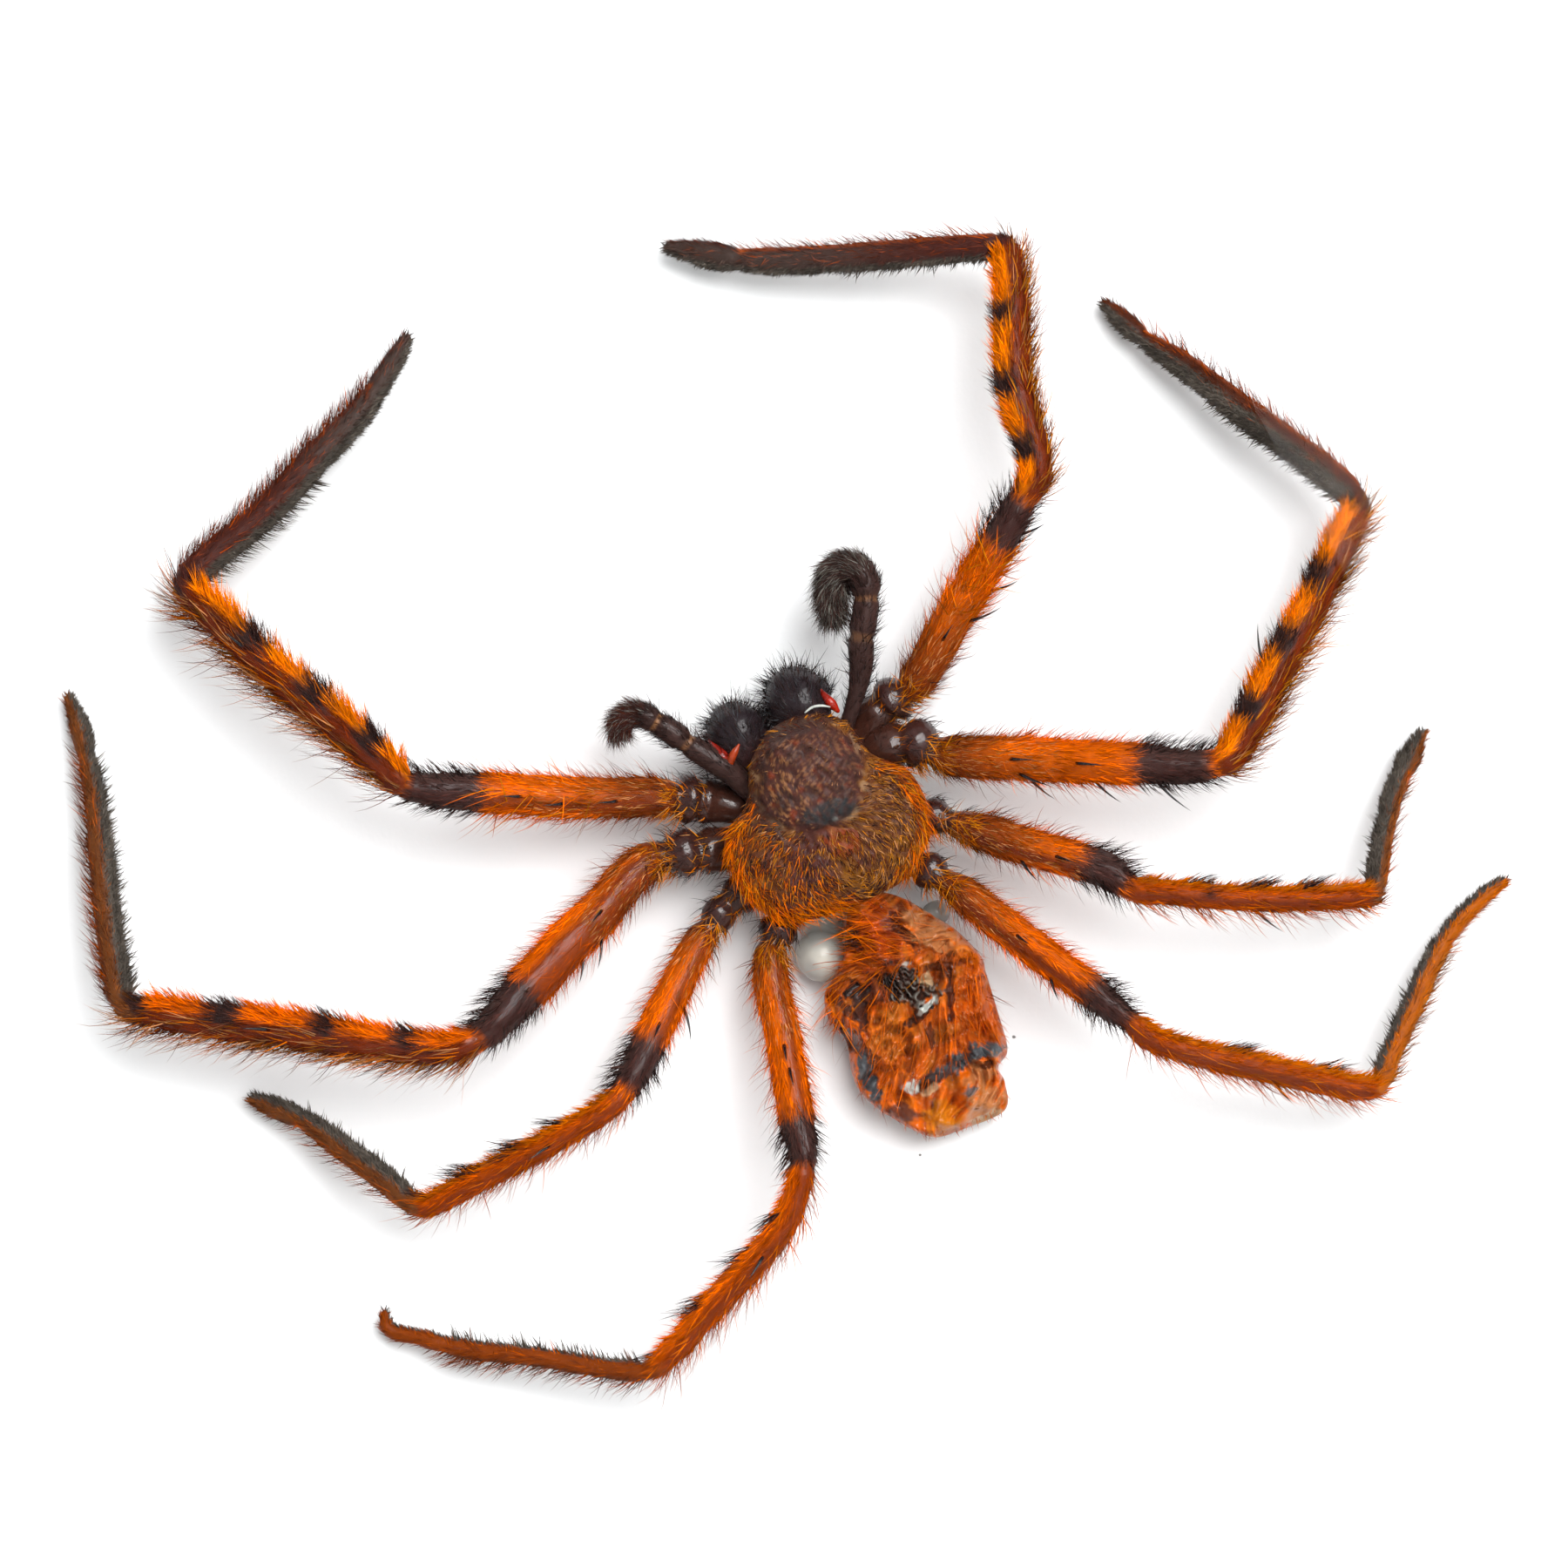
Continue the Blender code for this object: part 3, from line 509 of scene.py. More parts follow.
@dataclass(frozen=True)
class PaperFinish:
    """White card or foam board, with a faint tooth."""

    name: str
    colour: Colour
    tooth: float
    grain: float
    marks: tuple[Triple, ...] = ()

    def material(self) -> Material:
        """Makes the card material, with small dark marks where there are any.

        Returns:
            The material.
        """
        recipe = Recipe(self.name)
        fibres = recipe.noise(self.grain, 2.0)
        base = recipe.mix(fibres, tuple(0.97 * part for part in self.colour), self.colour)
        for right, up, radius in self.marks:
            middle = (right * MM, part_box("mount_card")[0].y, up * MM)
            settings = {"operation": "DISTANCE"}
            away = recipe.node("ShaderNodeVectorMath", settings, {0: recipe.place(), 1: middle}, "Value")
            spot = 1.0 - (away + (fibres - 0.5) * 0.0002).step(radius * MM * 0.5, radius * MM)
            base = recipe.mix(spot * 0.85, base, (0.05, 0.04, 0.03))
        return recipe.done(Base_Color=base, Roughness=0.75, Normal=recipe.bump(fibres, self.tooth))


@dataclass(frozen=True)
class BoardFinish:
    """Pressed brown fibre board."""

    name: str = "fibre_board"

    def material(self) -> Material:
        """Makes the board material.

        Returns:
            The material.
        """
        recipe = Recipe(self.name)
        fibres = recipe.noise(1100.0, 5.0, recipe.stretched((1.0, 1.0, 0.35)))
        flecks = recipe.noise(260.0, 3.0).step(0.55, 0.75)
        base = recipe.mix(fibres.step(0.3, 0.7), (0.2, 0.115, 0.055), (0.38, 0.25, 0.14))
        base = recipe.mix(flecks * 0.5, base, (0.13, 0.075, 0.04))
        return recipe.done(Base_Color=base, Roughness=0.72, Normal=recipe.bump(fibres, 0.08))


@dataclass(frozen=True)
class SteelFinish:
    """Zinc-plated steel with fine rolling marks."""

    name: str = "zinc_steel"

    def material(self) -> Material:
        """Makes the steel material.

        Returns:
            The material.
        """
        recipe = Recipe(self.name)
        lines = recipe.noise(1.0, 3.0, recipe.stretched((90.0, 1500.0, 1500.0)))
        bloom = recipe.noise(160.0, 3.0)
        base = recipe.mix(bloom.step(0.3, 0.7), (0.5, 0.51, 0.53), (0.66, 0.66, 0.64))
        rough = 0.28 + bloom * 0.15 + lines * 0.1
        return recipe.done(Base_Color=base, Metallic=1.0, Roughness=rough, Normal=recipe.bump(lines, 0.01))


@dataclass(frozen=True)
class GlassFinish:
    """A clean clear pane, seen mostly by what it mirrors."""

    name: str = "clear_glass"

    def material(self) -> Material:
        """Makes the glass material."""
        recipe = Recipe(self.name)
        return recipe.done(Base_Color=(0.0, 0.0, 0.0), Roughness=0.0, Alpha=0.04, IOR=1.5)


@dataclass(frozen=True)
class FloorFinish:
    """The studio's plain pale floor."""

    name: str = "studio_floor"

    def material(self) -> Material:
        """Makes the floor material.

        Returns:
            The material.
        """
        recipe = Recipe(self.name)
        cloudy = recipe.noise(3.0, 2.0)
        base = recipe.mix(cloudy, (0.7, 0.7, 0.69), (0.74, 0.74, 0.73))
        return recipe.done(Base_Color=base, Roughness=0.6)


@dataclass
class Strands:
    """Hairs before they are made into blades: one row each."""

    roots: Array
    ways: Array
    curls: Array
    sides: Array
    lengths: Array
    widths: Array
    tints: Array
    places: Array
    shades: Array

    def points(self, share: float) -> Array:
        """Gives the point at a share of each hair's length."""
        reach = self.ways * share + self.curls * share * share
        return self.roots + reach * self.lengths[:, None]


class Bundle:
    """Points and faces gathered for one mesh, with their colours and map places."""

    def __init__(self) -> None:
        """Starts with nothing."""
        self.points: list[Array] = []
        self.tints: list[Array] = []
        self.shades: list[Array] = []
        self.faces: list[Array] = []
        self.corners: list[Array] = []
        self.parts: list[Array] = []
        self.count = 0

    def add(
        self, points: Array, tints: Array, shades: Array,
        faces: Sequence[Array], maps: Sequence[Array], part: Part,
    ) -> None:
        """Adds points with the faces between them.

        Args:
            points: the places in the spider's axes, in millimetres.
            tints: a colour for each point.
            shades: for each point a hair's lightness or the skin's gloss, 0 to 1.
            faces: arrays of point numbers, one face a row.
            maps: the map place of each corner of those faces.
            part: the finish that the faces take.
        """
        self.points.append(points)
        self.tints.append(tints)
        self.shades.append(shades)
        for face, corner in zip(faces, maps):
            self.faces.append(face + self.count)
            self.corners.append(corner.reshape(-1, 2))
            self.parts.append(np.full(len(face), part.value))
        self.count += len(points)

    def add_strands(self, strands: Strands, joints: int) -> None:
        """Makes each hair a thin blade that narrows to a point.

        Args:
            strands: the hairs.
            joints: how many pairs of points a blade has below its tip.
        """
        number = len(strands.roots)
        if not number:
            return
        size = 2 * joints + 1
        points = np.empty((number, size, 3))
        maps = np.empty((number, size, 2))
        shades = np.empty((number, size))
        patch = 0.004
        for place in range(size):
            share = place // 2 / joints
            side = place % 2 * 2 - 1 if share < 1 else 0
            half = strands.sides * (strands.widths * 0.5 * (1.0 - share) ** 0.7)[:, None]
            points[:, place] = strands.points(share) + half * side
            maps[:, place] = strands.places + np.array((patch * share, patch * 0.5 * side))
            # Darker at the root and lighter towards the tip: painted shade among the roots of the hair
            shades[:, place] = np.clip(strands.shades + 0.3 * (share - 0.4), 0.0, 1.0)
        start = (np.arange(number) * size)[:, None]
        flat_maps = maps.reshape(-1, 2)
        faces = [start + np.array((2 * j, 2 * j + 1, 2 * j + 3, 2 * j + 2)) for j in range(joints - 1)]
        faces.append(start + np.array((size - 3, size - 2, size - 1)))
        tints = np.repeat(strands.tints, size, axis=0)
        corners = [flat_maps[face] for face in faces]
        self.add(points.reshape(-1, 3), tints, shades.reshape(-1), faces, corners, Part.HAIR)

    def piece(self, name: str, materials: Materials) -> Piece:
        """Makes the mesh object, in metres, in the frame's axes.

        Args:
            name: the object's name.
            materials: the finish of each Part, in its order.

        Returns:
            The new object.
        """
        local = np.concatenate(self.points)
        card_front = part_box("mount_card")[0].y
        world = np.column_stack((
            (SPIDER_RIGHT + local[:, 0]) * MM,
            card_front - local[:, 2] * MM,
            (SPIDER_UP + local[:, 1]) * MM,
        ))
        faces = [row for block in self.faces for row in block.tolist()]
        mesh = bpy.data.meshes.new(name)
        mesh.from_pydata(world.tolist(), [], faces)
        for material in materials:
            mesh.materials.append(material)
        mesh.polygons.foreach_set("material_index", np.concatenate(self.parts).astype(np.int32))
        mesh.shade_smooth()
        colours = np.ones((self.count, 4), np.float32)
        colours[:, :3] = np.clip(np.concatenate(self.tints), 0.0, 1.0)
        tint = mesh.attributes.new(TINT_NAME, "FLOAT_COLOR", "POINT")
        tint.data.foreach_set("color", colours.ravel())
        strand = mesh.attributes.new(STRAND_NAME, "FLOAT", "POINT")
        strand.data.foreach_set("value", np.concatenate(self.shades).astype(np.float32))
        places = mesh.uv_layers.new(name=MAP_NAME)
        corners = np.clip(np.concatenate(self.corners), 0.0, 1.0).astype(np.float32)
        places.data.foreach_set("uv", corners.ravel())
        mesh.update()
        piece = bpy.data.objects.new(name, mesh)
        bpy.context.scene.collection.objects.link(piece)
        LOG.info("%s: %d triangles", name, sum(len(f) * (f.shape[1] - 2) for f in self.faces))
        return piece


def ring_faces(rows: int, sides: int, flip: bool) -> tuple[list[Array], list[Array]]:
    """Joins rings of points, with a single point before the first ring and after the last.

    Args:
        rows: how many rings there are.
        sides: how many points a ring has.
        flip: whether the faces turn the other way round.

    Returns:
        The faces, as quads and triangles, and the map places of their corners.
    """
    ring = np.arange(sides)
    row, side = np.repeat(np.arange(rows - 1), sides), np.tile(ring, rows - 1)
    here, after = 1 + row * sides + side, 1 + row * sides + (side + 1) % sides
    faces = [np.column_stack((here, after, after + sides, here + sides))]
    along = np.column_stack((row + 1, row + 1, row + 2, row + 2)) / (rows + 1)
    across = np.column_stack((side, side + 1, side + 1, side)) / sides
    maps = [np.stack((along, across), axis=-1)]
    base = 1 + (rows - 1) * sides
    along = np.tile((0.0, 1.0, 1.0), (sides, 1)) / (rows + 1)
    for tip, start, near, far in ((0, 1, 1, 0), (base + sides, base, 0, 1)):
        first, second = start + (ring + near) % sides, start + (ring + far) % sides
        faces.append(np.column_stack((np.full(sides, tip), first, second)))
        across = np.column_stack((ring + 0.5, ring + near, ring + far)) / sides
        maps.append(np.stack((along if near else 1.0 - along, across), axis=-1))
    if flip:
        faces = [face[:, ::-1] for face in faces]
        maps = [place[:, ::-1] for place in maps]
    return faces, [place * np.array((1.0, 0.49)) for place in maps]


@dataclass(frozen=True)
class Marking:
    """A coloured stretch of a limb, from joint to joint and round from its front side.

    Places along are joint numbers, and a fraction lies between two joints. The angle is 0 at
    the front side, 90 on top and 180 at the rear side.
    """

    start: float
    end: float
    tint: Tint
    first: float = -95.0
    last: float = 275.0
    edge: float = 0.25
    strength: float = 1.0

    def weight(self, stations: Array, angles: Array) -> Array:
        """Says how strong the marking is at each station and angle."""
        along = within(stations, self.start, self.end, self.edge)
        return along * within(angles, self.first, self.last, 14.0) * self.strength


@dataclass(frozen=True)
class Coat:
    """One kind of hair on a stretch of limb.

    density is in hairs for each square millimetre, lean is the angle off the skin, stray is
    the sideways spread, and bunch is how many hairs share a lock.
    """

    start: float
    end: float
    density: float
    length: float
    lean: float
    first: float = -35.0
    last: float = 215.0
    width: float = 0.055
    lean_spread: float = 6.0
    stray: float = 9.0
    curl: float = 0.12
    bunch: int = 0
    joints: int = 2
    tints: Blend = ()
    share: float = 1.0


@dataclass(frozen=True)
class Thorn:
    """A stiff spine: where it stands, how long it is and how far it leans off the skin."""

    station: float
    angle: float
    length: float
    lean: float = 46.0
    width: float = 0.2


LIMB_FLATNESS = 0.92
MAP_HAIR = 0.5

# How deep a limb is nipped in between segments, near its root and beyond, and how it swells after that
NIP_NEAR = 0.3
NIP_BEYOND = 0.2
NIP_LONG = 0.16
SWELL = 0.06
SWELL_LONG = 0.3
SWELL_AFTER = 0.45

# How uneven the skin is, as a share of the limb's half width
UNEVEN = 0.035

# How far a hair's root lies under the skin and half a lock's width, in millimetres
ROOT_DEPTH = 0.03
LOCK_REACH = 0.16

# How far a lock's hairs turn to its tip, as a share, and how far blades roll, in degrees
LOCK_PULL = 0.65
BLADE_ROLL = 38.0
PELT_ROLL = 35.0

# Gives a row or a number for each station and angle
Painter = Callable[[Array, Array], Array]


class Limb:
    """A smooth limb through its joints, with the skin slimmer than its short hair."""

    def __init__(
        self, joints: Union[Path, Array], front: int, seed: int, core: float = 0.84, steps: int = 6,
        waists: Sequence[float] = (),
    ) -> None:
        """Works out the smooth middle line.

        Args:
            joints: a row for each point that it passes.
            front: 1 where the front side is to the right of the way it points, else -1.
            seed: the seed of its hair.
            core: the skin's width as a share of the limb's.
            steps: how many rings lie between two joints.
            waists: the joint numbers where it is nipped in between two segments.
        """
        table = np.array(joints)
        self.last = len(joints) - 1
        self.rng = np.random.default_rng(seed)
        self.front = front
        self.stations = np.linspace(0, self.last, self.last * steps + 1)
        index = np.minimum(self.stations.astype(int), self.last - 1)
        t = (self.stations - index)[:, None]
        places = table[:, :3]
        spans = np.diff(places, axis=0)
        lengths = np.linalg.norm(spans, axis=1, keepdims=True)
        headings = spans / lengths
        bends = unit(np.vstack((headings[:1], headings[:-1] + headings[1:], headings[-1:])))
        self.centres = (
            (2 * t**3 - 3 * t**2 + 1) * places[index]
            + (t**3 - 2 * t**2 + t) * lengths[index] * bends[index]
            + (3 * t**2 - 2 * t**3) * places[index + 1]
            + (t**3 - t**2) * lengths[index] * bends[index + 1]
        )
        radii = np.interp(self.stations, np.arange(self.last + 1), table[:, 3]) * 0.5 * core
        for _ in range(2):
            radii[1:-1] = (radii[:-2] + 2 * radii[1:-1] + radii[2:]) / 4
        for waist in waists:
            nip = NIP_NEAR if waist < 3.0 else NIP_BEYOND
            past = self.stations - waist
            radii = radii * (1.0 - nip * np.exp(-((past / NIP_LONG) ** 2)))
            radii = radii * (1.0 + SWELL * np.exp(-(((past - SWELL_AFTER) / SWELL_LONG) ** 2)))
        self.radii = radii
        self.ways = unit(np.gradient(self.centres, axis=0))
        across = unit(np.cross(self.ways, (0.0, 0.0, 1.0)))
        self.overs = np.cross(across, self.ways)
        self.facings = across * front
        self.ripple = Ripple(seed, 1.6)
        self.streaks = Ripple(seed + 1, 0.5, axes=2)

    def _read(self, table: Array, stations: Array) -> Array:
        """Reads a table of rows at fractional joints."""
        return np.column_stack([np.interp(stations, self.stations, column) for column in table.T])

    def spots(self, stations: Array, angles: Array) -> tuple[Array, Array, Array]:
        """Finds places on the skin.

        Args:
            stations: how far along, in joints.
            angles: how far round, in degrees.

        Returns:
            The places, their outward directions, and the limb's direction there.
        """
        turn = np.radians(angles)[:, None]
        radii = np.interp(stations, self.stations, self.radii)[:, None]
        facing = self._read(self.facings, stations)
        over = self._read(self.overs, stations)
        reach = facing * np.cos(turn) + over * np.sin(turn) * LIMB_FLATNESS
        normals = unit(facing * np.cos(turn) * LIMB_FLATNESS + over * np.sin(turn))
        places = self._read(self.centres, stations) + reach * radii
        places = places + normals * (self.ripple.at(places)[:, None] * UNEVEN * radii)
        return places, normals, unit(self._read(self.ways, stations))

    def add_skin(
        self, bundle: Bundle, paint: Painter, gloss: Painter, sides: int = 20, part: Part = Part.SKIN,
    ) -> None:
        """Adds the closed skin to a bundle.

        Args:
            bundle: what it is added to.
            paint: gives a colour for each station and angle.
            gloss: gives how glossy each station and angle is, from 0 to 1.
            sides: how many points a ring has.
            part: the finish that it takes.
        """
        angles = np.linspace(-90.0, 270.0, sides, endpoint=False)
        stations = np.repeat(self.stations, sides)
        angles = np.tile(angles, len(self.stations))
        places, _, _ = self.spots(stations, angles)
        ends = np.array((0.0, self.last))
        tips = self.centres[[0, -1]] + self.ways[[0, -1]] * self.radii[[0, -1], None] * ((-0.5,), (0.6,))
        points = np.vstack((tips[:1], places, tips[1:]))
        stations = np.concatenate((ends[:1], stations, ends[1:]))
        angles = np.concatenate(((90.0,), angles, (90.0,)))
        faces, maps = ring_faces(len(self.stations), sides, self.front > 0)
        bundle.add(points, paint(stations, angles), gloss(stations, angles), faces, maps, part)

    def _roots(self, coat: Coat) -> tuple[Array, Array]:
        """Scatters a coat's roots evenly over its stretch of skin.

        Args:
            coat: the kind of hair.

        Returns:
            The station and the angle of each root.
        """
        line = np.linspace(coat.start, min(coat.end, self.last), 160)
        centres = self._read(self.centres, line)
        radii = np.interp(line, self.stations, self.radii)
        steps = np.linalg.norm(np.diff(centres, axis=0), axis=1) * (radii[1:] + radii[:-1]) / 2
        total = np.concatenate(((0.0,), np.cumsum(steps)))
        area = total[-1] * math.radians(coat.last - coat.first)
        count = max(1, int(area * coat.density / max(coat.bunch, 1)))
        spread = (np.arange(count) + self.rng.random(count)) / count
        stations = np.interp(spread * total[-1], total, line)
        return stations, self.rng.uniform(coat.first, coat.last, count)

    def add_coat(self, bundle: Bundle, coat: Coat, paint: Painter) -> None:
        """Adds one kind of hair to a bundle.

        Args:
            bundle: what it is added to.
            coat: the kind of hair.
            paint: gives a colour for each station and angle.
        """
        rng = self.rng
        stations, angles = self._roots(coat)
        lock_tips = None
        if coat.bunch:
            places, normals, ways = self.spots(stations, angles)
            lean = np.radians(rng.normal(coat.lean, coat.lean_spread, len(stations)))[:, None]
            reach = coat.length * rng.uniform(0.75, 1.2, len(stations))[:, None]
            swerve = np.tan(np.radians(rng.normal(0, coat.stray, len(stations))))[:, None]
            aside = np.cross(normals, ways) * swerve
            tips = places + unit((ways + aside) * np.cos(lean) + normals * np.sin(lean)) * reach
            lock_tips = np.repeat(tips, coat.bunch, axis=0)
            radii = np.interp(stations, self.stations, self.radii)
            wide = np.repeat(np.degrees(LOCK_REACH / radii), coat.bunch)
            stations = np.repeat(stations, coat.bunch)
            stations = stations + rng.normal(0, 0.05, len(stations))
            angles = np.repeat(angles, coat.bunch) + rng.normal(0, 1, len(wide)) * wide
        stations = np.clip(stations, 0, self.last)
        count = len(stations)
        places, normals, ways = self.spots(stations, angles)
        lean = np.radians(np.clip(rng.normal(coat.lean, coat.lean_spread, count), 1.0, 88.0))[:, None]
        flow = turned(ways, normals, rng.normal(0, coat.stray, count))
        lengths = coat.length * rng.uniform(0.65, 1.25, count)
        aim = unit(flow * np.cos(lean) + normals * np.sin(lean))
        if lock_tips is not None:
            aim = unit(aim * (1.0 - LOCK_PULL) + unit(lock_tips - places) * LOCK_PULL)
        sides = turned(unit(np.cross(aim, normals) + 1e-6), aim, rng.normal(0, BLADE_ROLL, count))
        curls = (flow * 0.5 - normals) * (coat.curl * rng.uniform(0.3, 1.6, count))[:, None]
        painted = paint(stations + rng.normal(0, 0.05, count), angles + rng.normal(0, 6.0, count))
        if coat.tints:
            own = pick(rng, count, coat.tints)
            painted = painted + (own - painted) * coat.share
        streak = self.streaks.at(np.column_stack((stations * 0.4, angles * 0.018)))
        turn = (angles + 95.0) / 380.0
        maps = np.column_stack((stations / self.last * 0.98, MAP_HAIR + 0.01 + 0.47 * np.clip(turn, 0, 1)))
        strands = Strands(
            roots=places - normals * ROOT_DEPTH, ways=aim, curls=curls, sides=sides, lengths=lengths,
            widths=coat.width * rng.uniform(0.7, 1.2, count), tints=painted, places=maps,
            shades=np.clip(rng.normal(0.42, 0.24, count) + 0.25 * streak, 0.0, 1.0),
        )
        bundle.add_strands(strands, coat.joints)

    def add_thorn(self, bundle: Bundle, thorn: Thorn) -> None:
        """Adds a curved black spine.

        Args:
            bundle: what it is added to.
            thorn: the spine.
        """
        place, normal, way = self.spots(np.array((thorn.station,)), np.array((thorn.angle,)))
        lean = math.radians(thorn.lean)
        aim = way[0] * math.cos(lean) + normal[0] * math.sin(lean)
        curl = (way[0] - normal[0]) * 0.12
        add_spike(bundle, place[0] - normal[0] * 0.05, aim, curl, thorn.length, thorn.width)


def add_spike(bundle: Bundle, root: Array, aim: Array, curl: Array, length: float, width: float) -> None:
    """Adds a curved round spike that narrows to a point.

    Args:
        bundle: what it is added to.
        root: where it stands.
        aim: the way it points.
        curl: how far its tip bends away, as a share of its length.
        length: its length in millimetres.
        width: its width at the root.
    """
    sides, rows = 6, 5
    aim = aim / np.linalg.norm(aim)
    side = np.cross(aim, (0.3, 0.5, 0.8))
    side = side / np.linalg.norm(side)
    other = np.cross(aim, side)
    rings = []
    for row in range(rows):
        share = row / rows
        middle = root + (aim * share + curl * share * share) * length
        reach = width * 0.5 * (1.0 - share) ** 0.8
        for turn in np.arange(sides) * 2 * math.pi / sides:
            rings.append(middle + (side * math.cos(turn) + other * math.sin(turn)) * reach)
    points = np.vstack((root[None], rings, (root + (aim + curl) * length)[None]))
    faces, maps = ring_faces(rows, sides, False)
    tints = np.tile(Tint.BLACK.value, (len(points), 1))
    small = [place * 0.01 for place in maps]
    bundle.add(points, tints, np.full(len(points), 0.5), faces, small, Part.HORN)


class Furred:
    """A limb that stands for a CAD node: its skin, its hair and what else is on it."""

    name: str
    slot: str
    limb: Limb
    shine = 0.0
    sides = 20

    def coats(self) -> Sequence[Coat]:
        """Lists the limb's hair, in the order that it grows."""
        raise NotImplementedError

    def paint(self, stations: Array, angles: Array) -> Array:
        """Gives the colour at each station and angle."""
        raise NotImplementedError

    def paint_skin(self, stations: Array, angles: Array) -> Array:
        """Gives the colour of the skin under the hair."""
        return self.paint(stations, angles)

    def gloss(self, stations: Array, angles: Array) -> Array:
        """Gives how glossy the skin is at each station and angle."""
        return np.full(len(stations), self.shine)

    def add_extras(self, bundle: Bundle) -> None:
        """Adds what is neither skin nor hair, where there is any."""

    def build(self, materials: Materials) -> Piece:
        """Makes the whole limb.

        Args:
            materials: the spider's finishes.

        Returns:
            The piece, which replaces its CAD node.
        """
        bundle = Bundle()
        self.limb.add_skin(bundle, self.paint_skin, self.gloss, self.sides)
        for coat in self.coats():
            self.limb.add_coat(bundle, coat, self.paint)
        self.add_extras(bundle)
        return dressed(bundle, self.name, materials)


class Side(Enum):
    """Which side a limb is on, and where its front side lies."""

    LEFT = 1
    RIGHT = -1


@dataclass
class Leg(Furred):
    """One leg: its joints, where its segments meet, and what colours it has.

    base, knee, bend and tarsus are the joint numbers where the thigh starts, the knee is, the
    shin ends and the last segment starts. dusk is where the brown of the thigh's base has
    turned orange. night is the thigh's dark end, and bands are the shin's black bands.
    """

    name: str
    side: Side
    joints: Path
    base: float
    knee: float
    bend: float
    tarsus: float
    dusk: float
    night: Pair
    bands: tuple[Pair, ...]
    shin: Tint
    foot: Tint
    rim: Tint
    locks: float
    lock_tints: Blend
    tufts: tuple[float, ...] = ()
    thorns: tuple[Thorn, ...] = ()
    bare: Pair = (95.0, 135.0)
    sheen: float = 0.25
    shag: float = 0.0
    brush: float = 0.6
    fur: float = 0.5
    bunch: int = 3
    teeth: float = 30.0
    tooth: float = 0.7
    saw: float = 0.6
    rear: float = 20.0
    split: float = 84.0
    front: Tint = Tint.ORANGE
    pad_top: float = 76.0
    hip: float = 1.4
    tip: float = 1.4
    seed: int = 0
    slot = "leg_orange"

    def __post_init__(self) -> None:
        """Works out the limb's middle line."""
        table = np.array(self.joints)
        table[:int(self.base), 3] *= self.hip
        table[-2:, 3] *= self.tip
        waists = (self.base - 1.2, self.base - 0.3, self.knee, self.bend + 0.1, self.tarsus)
        self.limb = Limb(table, self.side.value, self.seed, waists=waists)

    def markings(self) -> list[Marking]:
        """Lists the leg's colours, from below to on top.

        Returns:
            The markings, the lowest first.
        """
        last = self.limb.last + 1.0
        marks = [
            Marking(-1, self.dusk, Tint.UMBER, edge=1.2, strength=0.75),
            Marking(-1, self.base - 0.15, Tint.SOOT, edge=0.3, strength=0.85),
            Marking(self.base - 1.15, self.base - 0.35, Tint.PLUM, -95, 120, 0.3, 0.9),
            Marking(self.base, self.night[0] + 0.2, Tint.RUST, *self.bare, 0.5, self.sheen),
            Marking(*self.night, Tint.DUSK, edge=0.3),
            Marking(self.night[0] + 0.2, self.night[1] - 0.1, Tint.PLUM, 60, 140, 0.3, 0.7),
            Marking(self.knee, self.bend, self.front, edge=0.3),
            Marking(self.knee, self.bend, self.shin, self.split, 275, 0.3),
            Marking(self.knee, self.bend, Tint.RUST, 92, 128, 0.3, self.sheen),
            Marking(self.bend - 0.5, last, self.foot, edge=0.3),
        ]
        if self.foot is Tint.PLUM:
            marks.append(Marking(self.bend, self.tarsus - 1.6, Tint.RUST, 60, 275, 1.2, 0.15))
            marks.append(Marking(self.tarsus - 1.8, last, Tint.MOSS, -95, 140, 1.4, 0.45))
        marks += [Marking(start, end, Tint.SOOT, -95, 98, 0.14) for start, end in self.bands]
        marks += [
            Marking(self.bend + 0.2, last, Tint.MOSS, -95, self.pad_top, 0.4),
            Marking(self.bend + 0.2, self.tarsus, self.rim, 142, 275, 0.4, 0.8),
            Marking(self.tarsus - 0.14, self.tarsus + 0.06, Tint.ORANGE, 125, 235, 0.1, 0.85),
        ]
        return marks

    def paint(self, stations: Array, angles: Array) -> Array:
        """Gives the leg's colour at each station and angle."""
        return layered(len(stations), Tint.ORANGE, [
            (mark.tint, mark.weight(stations, angles)) for mark in self.markings()
        ])

    def paint_skin(self, stations: Array, angles: Array) -> Array:
        """Gives the colour of the skin under the hair at about half the hair's: partly the darker skin itself
        and partly painted shade among the hairs.
        """
        return self.paint(stations, angles) * 0.55

    def gloss(self, stations: Array, angles: Array) -> Array:
        """Gives how glossy the skin is at each station and angle.

        Args:
            stations: how far along, in joints.
            angles: how far round, in degrees.

        Returns:
            A gloss for each, from 0 to 1.
        """
        root = within(stations, -1.0, self.base - 0.1, 0.3) * 0.7
        night = within(stations, *self.night, 0.3) * 0.15
        stripe = within(stations, self.base, self.bend, 0.3) * within(angles, *self.bare, 20.0)
        stripe = stripe * self.sheen * 0.3
        return np.maximum(np.maximum(root, night), stripe)

